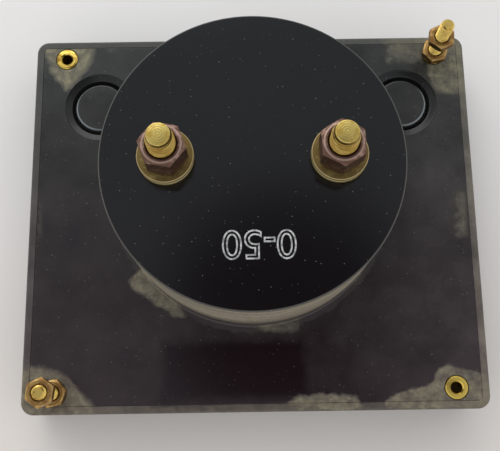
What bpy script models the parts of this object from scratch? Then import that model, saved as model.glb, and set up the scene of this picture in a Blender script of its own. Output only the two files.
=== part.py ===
# Panel ammeter with a moving-coil movement, lying on its front as it does on a bench.
# Metres. +Z points out of the back of the case, -Y towards the top of the dial, and +X is
# right for someone who reads the dial. The origin is the middle of the front face.

import math

import bmesh
import bpy
from mathutils import Matrix, Vector

mm = 0.001

# Driving sizes of the case
flange_width = 118.0 * mm
flange_height = 101.0 * mm
flange_depth = 16.0 * mm
flange_corner = 3.2 * mm
barrel_radius = 35.3 * mm
barrel_height = 30.5 * mm
barrel_offset = 6.3 * mm
stud_margin_x = 8.4 * mm
stud_margin_y = 5.3 * mm
terminal_pitch = 39.4 * mm
pivot_offset = 14.0 * mm

# Clearances: a seat is what lies against another piece, a run is what turns past one
seat_gap = 0.3 * mm
run_gap = 0.4 * mm
overrun = 1.0 * mm

# Finishes: colour, roughness, metallic
finishes = {
    "black_phenolic": ((0.012, 0.011, 0.012), 0.32, 0.0),
    "brass": ((0.60, 0.43, 0.13), 0.30, 1.0),
    "dark_brass": ((0.25, 0.15, 0.11), 0.45, 1.0),
    "steel": ((0.45, 0.45, 0.46), 0.35, 1.0),
    "soft_iron": ((0.30, 0.30, 0.31), 0.50, 1.0),
    "magnet_steel": ((0.16, 0.16, 0.17), 0.55, 1.0),
    "cast_zinc": ((0.42, 0.43, 0.44), 0.55, 1.0),
    "aluminium": ((0.70, 0.71, 0.72), 0.35, 1.0),
    "white_enamel": ((0.80, 0.79, 0.74), 0.45, 0.0),
    "black_enamel": ((0.015, 0.015, 0.015), 0.40, 0.0),
    "glass": ((0.80, 0.85, 0.84), 0.03, 0.0),
    "cork": ((0.30, 0.20, 0.12), 0.90, 0.0),
    "copper_wire": ((0.48, 0.17, 0.08), 0.40, 1.0),
    "manganin": ((0.42, 0.27, 0.18), 0.40, 1.0),
    "cloth_wire": ((0.30, 0.06, 0.04), 0.85, 0.0),
}

for old in list(bpy.data.objects):
    bpy.data.objects.remove(old, do_unlink=True)


# Materials and objects

def finish(name):
    """The material of that name, made once."""
    found = bpy.data.materials.get(name)
    if found:
        return found
    colour, roughness, metallic = finishes[name]
    made = bpy.data.materials.new(name)
    made.use_nodes = True
    shader = made.node_tree.nodes["Principled BSDF"]
    shader.inputs["Base Color"].default_value = (*colour, 1.0)
    shader.inputs["Roughness"].default_value = roughness
    shader.inputs["Metallic"].default_value = metallic
    return made


smooth_under = math.radians(32.0)


def piece(name, shape, finish_name, axis=None):
    """An object of a bmesh whose points are given from the axis it hangs on."""
    mesh = bpy.data.meshes.new(name)
    bmesh.ops.recalc_face_normals(shape, faces=shape.faces[:])
    shape.to_mesh(mesh)
    shape.free()
    mesh.shade_smooth()
    mesh.set_sharp_from_angle(angle=smooth_under)
    made = bpy.data.objects.new(name, mesh)
    bpy.context.scene.collection.objects.link(made)
    mesh.materials.append(finish(finish_name))
    if axis:
        made.parent = axis
    return made


def axis_at(name, x, y):
    """An empty on a vertical axis, for the pieces that turn on it or are laid out round it."""
    made = bpy.data.objects.new(name, None)
    made.location = (x, y, 0.0)
    bpy.context.scene.collection.objects.link(made)
    return made


def apply_boolean(body, others, operation):
    """Cuts or joins bmeshes with a body for good, one after another."""
    for other in others:
        mesh = bpy.data.meshes.new("tool")
        bmesh.ops.recalc_face_normals(other, faces=other.faces[:])
        other.to_mesh(mesh)
        other.free()
        tool = bpy.data.objects.new("tool", mesh)
        bpy.context.scene.collection.objects.link(tool)
        tool.matrix_world = body.matrix_world
        boolean = body.modifiers.new("boolean", "BOOLEAN")
        boolean.operation = operation
        boolean.solver = "EXACT"
        boolean.object = tool
        bpy.context.view_layer.update()
        graph = bpy.context.evaluated_depsgraph_get()
        result = bpy.data.meshes.new_from_object(body.evaluated_get(graph))
        before = body.data
        body.modifiers.clear()
        body.data = result
        result.name = body.name
        bpy.data.meshes.remove(before)
        bpy.data.objects.remove(tool, do_unlink=True)
        bpy.data.meshes.remove(mesh)
    body.data.shade_smooth()
    body.data.set_sharp_from_angle(angle=smooth_under)
    return body


def cut(body, *others):
    return apply_boolean(body, others, "DIFFERENCE")


def join(body, *others):
    return apply_boolean(body, others, "UNION")


# Outlines are lists of (x, y), counter-clockwise

def arc(centre, radius, start, end, steps):
    """Points on an arc from one angle in degrees to another, both ends included."""
    angles = [math.radians(start + (end - start) * step / steps) for step in range(steps + 1)]
    return [(centre[0] + radius * math.cos(a), centre[1] + radius * math.sin(a)) for a in angles]


def circle(radius, steps, centre=(0.0, 0.0)):
    return arc(centre, radius, 0.0, 360.0, steps)[:-1]


def rounded(width, height, corner, steps, centre=(0.0, 0.0)):
    """A rectangle with round corners."""
    x, y = width / 2 - corner, height / 2 - corner
    points = []
    for sx, sy, start in ((1, -1, -90.0), (1, 1, 0.0), (-1, 1, 90.0), (-1, -1, 180.0)):
        middle = (centre[0] + sx * x, centre[1] + sy * y)
        points += arc(middle, corner, start, start + 90.0, steps)
    return points


def sector(inner, outer, middle, half, steps):
    """A slice of a ring, from middle - half to middle + half degrees."""
    rim = arc((0.0, 0.0), outer, middle - half, middle + half, steps)
    return rim + arc((0.0, 0.0), inner, middle + half, middle - half, steps)


def hexagon(across_flats, turn):
    """A hexagon's corners, with the first at the given turn in degrees."""
    corner = across_flats / math.sqrt(3.0)
    turns = [math.radians(turn + 60.0 * k) for k in range(6)]
    return [(corner * math.cos(a), corner * math.sin(a)) for a in turns]


def stadium(start, end, radius, steps):
    """The outline of a bar with round ends, from one middle to the other."""
    along = math.degrees(math.atan2(end[1] - start[1], end[0] - start[0]))
    points = arc(end, radius, along - 90.0, along + 90.0, steps)
    return points + arc(start, radius, along + 90.0, along + 270.0, steps)


# Solids

def loft(levels):
    """Loops of equal length at rising heights, joined side by side and closed at both ends."""
    shape = bmesh.new()
    loops = [[shape.verts.new((x, y, z)) for x, y in points] for points, z in levels]
    for low, high in zip(loops, loops[1:]):
        for index in range(len(low)):
            after = (index + 1) % len(low)
            shape.faces.new((low[index], low[after], high[after], high[index]))
    shape.faces.new(list(reversed(loops[0])))
    shape.faces.new(loops[-1])
    return shape


def prism(outline, bottom, top):
    return loft([(outline, bottom), (outline, top)])


def cylinder(radius, bottom, top, steps, centre=(0.0, 0.0)):
    return prism(circle(radius, steps, centre), bottom, top)


weld = 0.002 * mm


def turned(profile, steps, centre=(0.0, 0.0)):
    """A profile of (radius, height) turned about a vertical axis. One that starts and ends
    on the axis is a solid, any other is closed into a ring."""
    shape = bmesh.new()
    points = [shape.verts.new((centre[0] + r, centre[1], z)) for r, z in profile]
    edges = [shape.edges.new(pair) for pair in zip(points, points[1:])]
    if profile[0][0] > 0.0:
        edges.append(shape.edges.new((points[-1], points[0])))
    bmesh.ops.spin(
        shape,
        geom=points + edges,
        cent=(centre[0], centre[1], 0.0),
        axis=(0.0, 0.0, 1.0),
        angle=math.tau,
        steps=steps,
        use_merge=True,
    )
    bmesh.ops.remove_doubles(shape, verts=shape.verts[:], dist=weld)
    return shape


def block(x, y, z):
    """A box between two corners, given as pairs."""
    outline = [(x[0], y[0]), (x[1], y[0]), (x[1], y[1]), (x[0], y[1])]
    return prism(outline, z[0], z[1])


def hexagon_nut(name, finish_name, place, across_flats, bore, bottom, height, turn, steps):
    """A hexagon prism with its corners turned down at both ends and a bore."""
    top = bottom + height
    nut = piece(name, prism(hexagon(across_flats, turn), bottom, top), finish_name)
    flat = across_flats / 2
    outer = across_flats / math.sqrt(3.0) + overrun
    drop = (outer - flat) * math.tan(math.radians(30.0))
    above, below = top + overrun, bottom - overrun
    cut(
        nut,
        turned([(outer, top - drop), (outer, above), (flat, above), (flat, top)], steps),
        turned([(outer, bottom + drop), (flat, bottom), (flat, below), (outer, below)], steps),
        cylinder(bore, below, above, steps),
    )
    nut.data.transform(Matrix.Translation((place[0], place[1], 0.0)))
    return nut


# Walls of the case
front_wall = 2.6 * mm
side_wall = 3.2 * mm
rim_wall = 2.0 * mm
base_wall = 3.0 * mm
back_wall = 2.8 * mm
barrel_wall = 2.4 * mm

base_front = flange_depth - base_wall
barrel_back = flange_depth + barrel_height
barrel_floor = barrel_back - back_wall
barrel_inside = barrel_radius - barrel_wall

# What each piece behind the front wall takes of the depth, from front to back
gasket_height = 0.5 * mm
glass_height = 2.0 * mm
zero_clip_height = 0.5 * mm
zero_disc_height = 0.45 * mm
lever_wall = 0.6 * mm
bridge_wall = 1.2 * mm
spring_clear = 0.8 * mm
hairspring_height = 0.5 * mm
pointer_clear = 0.5 * mm
pointer_wall = 0.5 * mm
dial_clear = 1.0 * mm
dial_wall = 0.8 * mm
staff_disc_height = 0.6 * mm
winding_wall = 0.6 * mm
former_wall = 0.6 * mm
former_margin = 0.5 * mm
pole_overhang = 0.2 * mm
magnet_length = 14.8 * mm
frame_wall = 2.0 * mm
jewel_stand = 0.5 * mm

# Where each of them starts or ends, so that the stack follows any height that changes
gasket_front = front_wall + seat_gap
glass_front = gasket_front + gasket_height + seat_gap
clip_front = front_wall + seat_gap
clip_back = clip_front + zero_clip_height
disc_front = clip_back + seat_gap
disc_back = disc_front + zero_disc_height
lever_front = disc_back + run_gap
lever_back = lever_front + lever_wall
bridge_front = lever_back + seat_gap
bridge_back = bridge_front + bridge_wall
hairspring_front_at = bridge_back + spring_clear
pointer_front = hairspring_front_at + hairspring_height + pointer_clear
pointer_back = pointer_front + pointer_wall
dial_front = pointer_back + dial_clear
dial_back = dial_front + dial_wall
former_lap = former_wall + seat_gap
coil_end = former_margin + former_lap + winding_wall
core_front = dial_back + run_gap + staff_disc_height + seat_gap + coil_end
core_length = magnet_length - 4 * pole_overhang
pole_front = core_front - pole_overhang
magnet_front = pole_front - pole_overhang
frame_front = magnet_front + magnet_length + seat_gap
frame_back = frame_front + frame_wall
winding_front = core_front - coil_end
winding_back = core_front + core_length + coil_end
hairspring_rear_at = winding_back + staff_disc_height + 2 * seat_gap
arch_front = hairspring_rear_at + hairspring_height + spring_clear

# The window has round corners, and its lower edge rises over the pivot in a round hump
window_half = 50.0 * mm
window_top = 42.0 * mm
window_foot_rise = 5.0 * mm
window_corner = 12.0 * mm
window_foot_corner = 4.0 * mm
hump_radius = 15.0 * mm
window_foot = pivot_offset - window_foot_rise


def window_outline(grow, steps=6):
    """The window's outline, grown on every side. The dial's top lies towards -Y."""
    top, foot, half = -window_top - grow, window_foot + grow, window_half + grow
    big, small, hump = window_corner + grow, window_foot_corner + grow, hump_radius - grow
    reach = math.degrees(math.acos((pivot_offset - foot) / hump))
    points = arc((half - big, top + big), big, -90.0, 0.0, steps)
    points += arc((half - small, foot - small), small, 0.0, 90.0, steps // 2)
    points += arc((0.0, pivot_offset), hump, -90.0 + reach, -90.0 - reach, 2 * steps)
    points += arc((small - half, foot - small), small, 90.0, 180.0, steps // 2)
    points += arc((big - half, top + big), big, 180.0, 270.0, steps)
    return points


# The front cover is one moulding: a tray with the window, a rim round the base and six bosses

cover_draft = 0.5 * mm
cover_front_edge = 1.8 * mm
cover_rim_edge = 0.6 * mm
window_reveal = 1.2 * mm
corner_boss = 4.6 * mm
screw_boss = 5.0 * mm
screw_y = 31.1 * mm
insert_radius = 2.9 * mm
insert_length = 9.5 * mm
insert_bore = 1.45 * mm
insert_proud = 0.15 * mm
base_screw_radius = 1.5 * mm
base_boss_depth = 2.0 * mm
zero_head_radius = 4.0 * mm
zero_head_height = 1.2 * mm
zero_head_sunk = 0.3 * mm
zero_shank_radius = 2.0 * mm
lever_reach = 12.5 * mm
eccentric = 1.6 * mm
zero_y = pivot_offset + lever_reach

stud_pitch_x = flange_width - 2 * stud_margin_x
stud_pitch_y = flange_height - 2 * stud_margin_y
corners = {
    "top_left": (-stud_pitch_x / 2, -stud_pitch_y / 2),
    "top_right": (stud_pitch_x / 2, -stud_pitch_y / 2),
    "bottom_left": (-stud_pitch_x / 2, stud_pitch_y / 2),
    "bottom_right": (stud_pitch_x / 2, stud_pitch_y / 2),
}
sides = {"left": -1.0, "right": 1.0}

# The two base screws stand midway between the barrel and the rim
barrel_side = math.sqrt(barrel_radius ** 2 - (screw_y - barrel_offset) ** 2)
screw_x = (barrel_side + flange_width / 2 - rim_wall) / 2
insert_foot = flange_depth + insert_proud - insert_length
base_screw_boss_top = base_front - base_boss_depth - seat_gap


def flange_outline(inset, steps=4):
    corner = max(flange_corner - inset, flange_corner / 4)
    return rounded(flange_width - 2 * inset, flange_height - 2 * inset, corner, steps)


def make_front_cover():
    edge_steps = 3
    levels = []
    for step in range(edge_steps + 1):
        turn = math.radians(90.0 * step / edge_steps)
        inset = cover_draft + cover_front_edge * (1.0 - math.sin(turn))
        levels.append((flange_outline(inset), cover_front_edge * (1.0 - math.cos(turn))))
    levels.append((flange_outline(0.0), flange_depth - cover_rim_edge))
    levels.append((flange_outline(cover_rim_edge / 3), flange_depth - cover_rim_edge / 3))
    levels.append((flange_outline(cover_rim_edge), flange_depth))
    cover = piece("front_cover", loft(levels), "black_phenolic")
    ledge = base_front - seat_gap
    top = flange_depth + overrun
    cut(
        cover,
        prism(flange_outline(side_wall), front_wall, flange_depth - base_wall / 2),
        prism(flange_outline(rim_wall), ledge, top),
    )
    root = front_wall / 2
    bosses = [cylinder(corner_boss, root, ledge, 18, place) for place in corners.values()]
    bosses += [
        cylinder(screw_boss, root, base_screw_boss_top, 18, (side * screw_x, screw_y))
        for side in sides.values()
    ]
    join(cover, *bosses)
    cut(
        cover,
        loft([
            (window_outline(window_reveal + overrun), -overrun),
            (window_outline(0.0), window_reveal),
            (window_outline(0.0), front_wall + overrun),
        ]),
    )
    pockets = [
        cylinder(insert_radius + seat_gap, insert_foot - seat_gap, top, 16, place)
        for place in corners.values()
    ]
    pockets += [
        cylinder(base_screw_radius + seat_gap, 2 * front_wall, top, 10, (side * screw_x, screw_y))
        for side in sides.values()
    ]
    head = zero_head_sunk + zero_head_height + seat_gap
    pockets.append(turned([
        (0.0, -overrun),
        (zero_head_radius + seat_gap, -overrun),
        (zero_head_radius + seat_gap, head),
        (zero_shank_radius + seat_gap, head),
        (zero_shank_radius + seat_gap, front_wall + overrun),
        (0.0, front_wall + overrun),
    ], 24, (0.0, zero_y)))
    return cut(cover, *pockets)


# The rear case is one moulding: the base that closes the cover, and the barrel behind it

base_edge = 0.35 * mm
barrel_edge = 0.35 * mm
barrel_root = 0.4 * mm
seal_step_radius = 9.5 * mm
seal_step_depth = 0.35 * mm
seal_hole_radius = 7.8 * mm
seal_hole_depth = 2.0 * mm
seal_rim_radius = 7.4 * mm
seal_rim_height = 0.6 * mm
seal_crown_radius = 6.45 * mm
seal_crown_edge = 0.3 * mm
base_screw_head = 3.0 * mm
base_screw_head_height = 1.3 * mm
base_screw_length = 7.5 * mm
base_boss = 10.4 * mm
insert_hole = 3.5 * mm
stud_radius = 3.175 * mm
frame_boss = 3.6 * mm
frame_boss_gap = 0.8 * mm
frame_screw_angle = 40.0
frame_screw_radius = 1.25 * mm
frame_screw_depth = 7.0 * mm

base_head_floor = flange_depth - seal_hole_depth - base_screw_head_height - seat_gap
frame_screw_reach = barrel_inside - frame_boss - frame_boss_gap
frame_screw_x = frame_screw_reach * math.cos(math.radians(frame_screw_angle))
frame_screw_y = barrel_offset + frame_screw_reach * math.sin(math.radians(frame_screw_angle))


def make_rear_case():
    inset = rim_wall + seat_gap
    case = piece("rear_case", loft([
        (flange_outline(inset), base_front),
        (flange_outline(inset), flange_depth - base_edge),
        (flange_outline(inset + base_edge), flange_depth),
    ]), "black_phenolic")
    middle = (0.0, barrel_offset)
    shell = turned([
        (0.0, base_front + base_wall / 2),
        (barrel_radius + barrel_root, base_front + base_wall / 2),
        (barrel_radius + barrel_root, flange_depth),
        (barrel_radius, flange_depth + barrel_root),
        (barrel_radius, barrel_back - barrel_edge),
        (barrel_radius - barrel_edge, barrel_back),
        (0.0, barrel_back),
    ], 64, middle)
    screw_places = [(side * screw_x, screw_y) for side in sides.values()]
    join(case, shell, *[
        cylinder(base_boss, base_front - base_boss_depth, base_front + base_wall / 2, 20, place)
        for place in screw_places
    ])
    cut(case, cylinder(barrel_inside, base_front - overrun, barrel_floor, 44, middle))
    frame_places = [(side * frame_screw_x, frame_screw_y) for side in sides.values()]
    join(case, *[
        cylinder(frame_boss, frame_back + seat_gap, barrel_floor + back_wall / 2, 14, place)
        for place in frame_places
    ])
    holes = [
        cylinder(insert_hole, base_front - overrun, flange_depth + overrun, 20, place)
        for place in corners.values()
    ]
    for place in screw_places:
        holes.append(turned([
            (0.0, base_front - base_boss_depth - overrun),
            (base_screw_radius + seat_gap, base_front - base_boss_depth - overrun),
            (base_screw_radius + seat_gap, base_head_floor),
            (base_screw_head + seat_gap, base_head_floor),
            (base_screw_head + seat_gap, flange_depth - seal_hole_depth),
            (seal_hole_radius, flange_depth - seal_hole_depth),
            (seal_hole_radius, flange_depth - seal_step_depth),
            (seal_step_radius, flange_depth - seal_step_depth),
            (seal_step_radius, flange_depth + overrun),
            (0.0, flange_depth + overrun),
        ], 28, place))
    for side in sides.values():
        place = (side * terminal_pitch / 2, barrel_offset)
        holes.append(cylinder(
            stud_radius + seat_gap, barrel_floor - overrun, barrel_back + overrun, 18, place))
    for place in frame_places:
        deep = frame_back + frame_screw_depth
        holes.append(cylinder(frame_screw_radius + seat_gap, frame_back - overrun, deep, 10, place))
    return cut(case, *holes)


def make_seal_plug(name, place):
    """A black plug pressed over a base screw. Its crown stands clear of the hole all round."""
    foot = flange_depth - seal_hole_depth + seat_gap
    top = flange_depth - seal_step_depth
    return piece(name, turned([
        (0.0, foot),
        (seal_rim_radius, foot),
        (seal_rim_radius, foot + seal_rim_height),
        (seal_crown_radius, foot + seal_rim_height),
        (seal_crown_radius, top - seal_crown_edge),
        (seal_crown_radius - seal_crown_edge, top),
        (0.0, top),
    ], 28, place), "black_phenolic")


screw_slot = 0.8 * mm
screw_edge_share = 0.85


def make_slotted_screw(name, place, head_foot, head_radius, head_height, radius, length, slot, up=1.0):
    """A cheese-head screw with a slot. Its head lies on head_foot, and its shank runs the other
    way. With up at -1 the head points at the front of the meter."""
    screw = piece(name, turned([
        (0.0, -length),
        (radius * screw_edge_share, -length),
        (radius, radius - length),
        (radius, 0.0),
        (head_radius, 0.0),
        (head_radius, head_height * screw_edge_share),
        (head_radius * screw_edge_share, head_height),
        (0.0, head_height),
    ], 12), "steel")
    wide = head_radius + overrun
    cut(screw, block((-wide, wide), (-slot / 2, slot / 2), (head_height / 2, head_height + overrun)))
    flip = Matrix.Rotation(0.0 if up > 0.0 else math.pi, 4, "X")
    screw.data.transform(Matrix.Translation((place[0], place[1], head_foot)) @ flip)
    return screw


def make_case_fasteners():
    for name, side in sides.items():
        place = (side * screw_x, screw_y)
        make_slotted_screw(
            "base_screw_" + name, place, base_head_floor + seat_gap, base_screw_head,
            base_screw_head_height - seat_gap, base_screw_radius, base_screw_length, screw_slot)
        make_seal_plug("seal_plug_" + name, place)


# Brass inserts in the four corners, and the two mounting studs that are still in theirs

insert_edge = 0.35 * mm
mount_stud_radius = 1.75 * mm
mount_stud_root = insert_bore - seat_gap
mount_stud_sunk = 6.0 * mm
mount_tip_edge = 0.5 * mm
mount_nut_flats = 6.35 * mm
mount_nut_height = 2.4 * mm
mount_nut_turn = 12.0
mount_studs = {
    "top_left": {"stands": 15.5 * mm, "nut_at": 12.3 * mm},
    "bottom_right": {"stands": 17.6 * mm, "nut_at": 8.6 * mm},
}


def make_corner_insert(name, place):
    top = flange_depth + insert_proud
    return piece(name, turned([
        (insert_bore, insert_foot),
        (insert_radius, insert_foot),
        (insert_radius, top - insert_edge),
        (insert_radius - insert_edge, top),
        (insert_bore + insert_edge, top),
        (insert_bore, top - insert_edge),
    ], 16, place), "brass")


def make_mounting_stud(name, place, stands):
    """The end in the insert is drawn at the thread's root, so that it clears the insert."""
    seat = flange_depth + insert_proud + seat_gap
    tip = flange_depth + stands
    return piece(name, turned([
        (0.0, seat - mount_stud_sunk),
        (mount_stud_root, seat - mount_stud_sunk),
        (mount_stud_root, seat),
        (mount_stud_radius, seat),
        (mount_stud_radius, tip - mount_tip_edge),
        (mount_stud_radius - mount_tip_edge, tip),
        (0.0, tip),
    ], 16, place), "brass")


def make_mount_nut(name, place, foot, turn):
    bore = mount_stud_radius + seat_gap
    return hexagon_nut(name, "brass", place, mount_nut_flats, bore, foot, mount_nut_height, turn, 14)


def make_mounting_hardware():
    for name, place in corners.items():
        make_corner_insert("corner_insert_" + name, place)
    # Left, right, top and bottom are the dial reader's
    for name, size in mount_studs.items():
        place = corners[name]
        make_mounting_stud("mounting_stud_" + name, place, size["stands"])
        foot = flange_depth + insert_proud + 2 * seat_gap
        make_mount_nut("mount_base_nut_" + name, place, foot, mount_nut_turn)
        foot = flange_depth + size["nut_at"]
        make_mount_nut("mount_end_nut_" + name, place, foot, 2 * mount_nut_turn)


# Terminals: a stud through the back with its head inside, two washers and a nut outside

washer_radius = 6.5 * mm
washer_height = 1.15 * mm
washer_edge = 0.2 * mm
terminal_nut_flats = 9.53 * mm
terminal_nut_height = 7.4 * mm
terminal_turns = {"left": -10.0, "right": -28.0}
terminal_stands = 16.7 * mm
terminal_thread_depth = 0.52 * mm
terminal_pilot_length = 2.6 * mm
terminal_tip_edge = 0.2 * mm
terminal_head_flats = 10.0 * mm
terminal_head_height = 3.4 * mm
block_wall = 1.5 * mm

block_front = barrel_floor - seat_gap - block_wall
terminal_head_back = block_front - seat_gap


def make_terminal_stud(name, place, turn):
    """Its tip is turned down to the thread's root, so that a nut starts on it easily."""
    head_front = terminal_head_back - terminal_head_height
    tip = barrel_back + terminal_stands
    pilot_radius, pilot_foot = stud_radius - terminal_thread_depth, tip - terminal_pilot_length
    stud = piece(name, turned([
        (0.0, head_front + terminal_head_height / 2),
        (stud_radius, head_front + terminal_head_height / 2),
        (stud_radius, pilot_foot - terminal_thread_depth),
        (pilot_radius, pilot_foot),
        (pilot_radius, tip - terminal_tip_edge),
        (pilot_radius - terminal_tip_edge, tip),
        (0.0, tip),
    ], 24), "brass")
    join(stud, prism(hexagon(terminal_head_flats, turn), head_front, terminal_head_back))
    stud.data.transform(Matrix.Translation((place[0], place[1], 0.0)))
    return stud


def make_washer(name, place, foot):
    hole, top = stud_radius + seat_gap, foot + washer_height
    return piece(name, turned([
        (hole, foot),
        (washer_radius - washer_edge, foot),
        (washer_radius, foot + washer_edge),
        (washer_radius, top - washer_edge),
        (washer_radius - washer_edge, top),
        (hole, top),
    ], 24, place), "brass")


def make_terminals():
    for name, side in sides.items():
        place = (side * terminal_pitch / 2, barrel_offset)
        make_terminal_stud("terminal_stud_" + name, place, terminal_turns[name])
        foot = barrel_back + seat_gap
        make_washer("terminal_inner_washer_" + name, place, foot)
        foot += washer_height + seat_gap
        make_washer("terminal_outer_washer_" + name, place, foot)
        foot += washer_height + seat_gap
        hexagon_nut(
            "terminal_nut_" + name, "dark_brass", place, terminal_nut_flats, stud_radius + seat_gap,
            foot, terminal_nut_height, terminal_turns[name], 20)


# Window, dial and stops

glass_lap = 2.0 * mm
dial_half = 51.5 * mm
dial_top = 43.5 * mm
dial_below_pivot = 5.0 * mm
dial_corner = 2.0 * mm
dial_opening = 15.0 * mm
dial_slot_half = 10.0 * mm
dial_screw_radius = 0.9 * mm
dial_screw_head = 2.2 * mm
dial_screw_head_height = 1.2 * mm
dial_screw_length = 5.0 * mm
dial_post_x = 24.5 * mm
dial_post_radius = 2.2 * mm
dial_foot = pivot_offset + dial_below_pivot

scale_sweep = 90.0
overtravel = 4.0
stop_reach = 36.0 * mm
stop_radius = 0.6 * mm
stop_collar = 1.2 * mm
stop_collar_height = 0.4 * mm
stop_height = 2.2 * mm
stop_tip_share = 0.6


def make_window():
    gasket = piece("window_gasket", prism(
        window_outline(glass_lap), gasket_front, gasket_front + gasket_height), "cork")
    cut(gasket, prism(window_outline(seat_gap), gasket_front - overrun, glass_front))
    piece("window_glass", prism(
        window_outline(glass_lap), glass_front, glass_front + glass_height), "glass")


def stop_places():
    """Where the pointer's edge meets a stop, seen from the pivot."""
    half_width = pointer_root + (pointer_tip - pointer_root) * stop_reach / pointer_reach
    past = math.asin((half_width + run_gap + stop_radius) / stop_reach)
    turn = math.radians(scale_sweep / 2 + overtravel) + past
    x, y = stop_reach * math.sin(turn), stop_reach * math.cos(turn)
    return {"zero": (-x, pivot_offset - y), "full": (x, pivot_offset - y)}


def make_dial():
    height = dial_top + dial_foot
    middle = (0.0, (dial_foot - dial_top) / 2)
    dial = piece("dial_plate", prism(
        rounded(2 * dial_half, height, dial_corner, 3, middle), dial_front, dial_back), "white_enamel")
    low, high = dial_front - overrun, dial_back + overrun
    tools = [cylinder(dial_opening, low, high, 32, (0.0, pivot_offset))]
    tools.append(block(
        (-dial_slot_half, dial_slot_half), (pivot_offset, dial_foot + overrun), (low, high)))
    for name in ("top_left", "top_right"):
        tools.append(cylinder(corner_boss + run_gap + seat_gap, low, high, 20, corners[name]))
    for side in sides.values():
        place = (side * dial_post_x, pivot_offset)
        tools.append(cylinder(dial_screw_radius + seat_gap, low, high, 10, place))
    for place in stop_places().values():
        tools.append(cylinder(stop_radius + seat_gap, low, high, 10, place))
    cut(dial, *tools)
    for name, side in sides.items():
        make_slotted_screw(
            "dial_screw_" + name, (side * dial_post_x, pivot_offset), dial_front - seat_gap,
            dial_screw_head, dial_screw_head_height, dial_screw_radius, dial_screw_length,
            screw_slot, -1.0)
    collar_back = dial_front - seat_gap
    for name, place in stop_places().items():
        piece("pointer_stop_" + name, turned([
            (0.0, dial_front - stop_height),
            (stop_radius * stop_tip_share, dial_front - stop_height),
            (stop_radius, dial_front - stop_height + stop_radius * (1.0 - stop_tip_share)),
            (stop_radius, collar_back - stop_collar_height),
            (stop_collar, collar_back - stop_collar_height),
            (stop_collar, collar_back),
            (stop_radius, collar_back),
            (stop_radius, dial_back),
            (0.0, dial_back),
        ], 10, place), "black_enamel")


# Zero adjuster: a slotted screw in the cover whose eccentric pin swings a forked lever

zero_slot = 1.0 * mm
zero_slot_share = 0.6
zero_head_edge = 0.3 * mm
zero_groove_radius = 1.4 * mm
zero_clip_radius = 3.8 * mm
zero_disc_radius = 2.3 * mm
zero_pin_radius = 0.55 * mm
lever_bush = 2.2 * mm
lever_ring = 3.9 * mm
lever_half = 1.2 * mm
fork_half = 2.1 * mm
fork_gap = 0.9 * mm
fork_end = 16.2 * mm
spring_post_reach = 5.3 * mm
spring_post_radius = 0.45 * mm


def make_zero_screw():
    axis = axis_at("zero_screw_axis", 0.0, zero_y)
    head_back = zero_head_sunk + zero_head_height
    groove_front = clip_front - seat_gap / 2
    screw = piece("zero_screw", turned([
        (0.0, zero_head_sunk),
        (zero_head_radius - zero_head_edge, zero_head_sunk),
        (zero_head_radius, zero_head_sunk + zero_head_edge),
        (zero_head_radius, head_back),
        (zero_shank_radius, head_back),
        (zero_shank_radius, groove_front),
        (zero_groove_radius, groove_front),
        (zero_groove_radius, disc_front),
        (zero_disc_radius, disc_front),
        (zero_disc_radius, disc_back),
        (0.0, disc_back),
    ], 24), "black_enamel", axis)
    bpy.context.view_layer.update()
    pin_foot, pin_end = disc_back - zero_disc_height / 2, lever_back + seat_gap / 2
    join(screw, cylinder(zero_pin_radius, pin_foot, pin_end, 10, (0.0, eccentric)))
    wide = zero_head_radius + overrun
    slot_span = (zero_head_sunk - overrun, zero_head_sunk + zero_head_height * zero_slot_share)
    cut(screw, block((-wide, wide), (-zero_slot / 2, zero_slot / 2), slot_span))

    ring = zero_groove_radius + seat_gap
    clip = piece("zero_screw_clip", turned([
        (ring, clip_front),
        (zero_clip_radius, clip_front),
        (zero_clip_radius, clip_back),
        (ring, clip_back),
    ], 20), "steel", axis)
    bpy.context.view_layer.update()
    cut(clip, block((-ring, ring), (0.0, wide), (clip_front - overrun, clip_back + overrun)))


def make_zero_lever():
    """Lies on the bush of the front bridge. Its post holds the front hairspring's outer end."""
    axis = axis_at("zero_lever_axis", 0.0, pivot_offset)
    lever = piece("zero_lever", cylinder(lever_ring, lever_front, lever_back, 24), "brass", axis)
    bpy.context.view_layer.update()
    fork_root = lever_reach - fork_half
    post_foot, post_end = lever_front + lever_wall / 2, hairspring_front_at + hairspring_height
    right = [(lever_half, 0.0), (lever_half, fork_root), (fork_half, lever_reach), (fork_half, fork_end)]
    left = [(-x, y) for x, y in reversed(right)]
    join(
        lever,
        prism(right + left, lever_front, lever_back),
        cylinder(spring_post_radius, post_foot, post_end, 10, (0.0, spring_post_reach)),
    )
    low, high = lever_front - overrun, lever_back + seat_gap
    slot = stadium((0.0, lever_reach + fork_gap / 2), (0.0, fork_end + 2 * fork_gap), fork_gap, 6)
    return cut(
        lever,
        prism(slot, low, high),
        cylinder(lever_bush + seat_gap, low, high, 20),
    )


# The fixed half of the movement, laid out round the pivot

core_radius = 7.6 * mm
pole_bore = 10.2 * mm
pole_outer = 14.2 * mm
pole_half_angle = 58.0
magnet_outer = 20.0 * mm
magnet_mouth = 35.0
spacer_margin = 1.8 * mm
spacer_half_angle = 26.0
bridge_half = 2.6 * mm
bridge_ring = 4.2 * mm
bridge_leg_x = 12.4 * mm
bridge_leg_radius = 1.8 * mm
bridge_screw_radius = 0.8 * mm
bridge_screw_head = 1.9 * mm
bridge_screw_head_height = 1.2 * mm
bridge_screw_length = 12.0 * mm
frame_radius = 20.5 * mm
frame_opening = 10.8 * mm
frame_screw_head = 2.6 * mm
frame_screw_head_height = 1.4 * mm
frame_screw_length = 8.0 * mm
ear_root = 16.0 * mm
arch_wall = 1.4 * mm
arch_half = 2.6 * mm
arch_boss = 3.2 * mm
arch_boss_height = 2.0 * mm
arch_foot = 13.5 * mm
arch_reach = 17.0 * mm
jewel_radius = 1.3 * mm
jewel_cup_radius = 0.8 * mm
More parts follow.
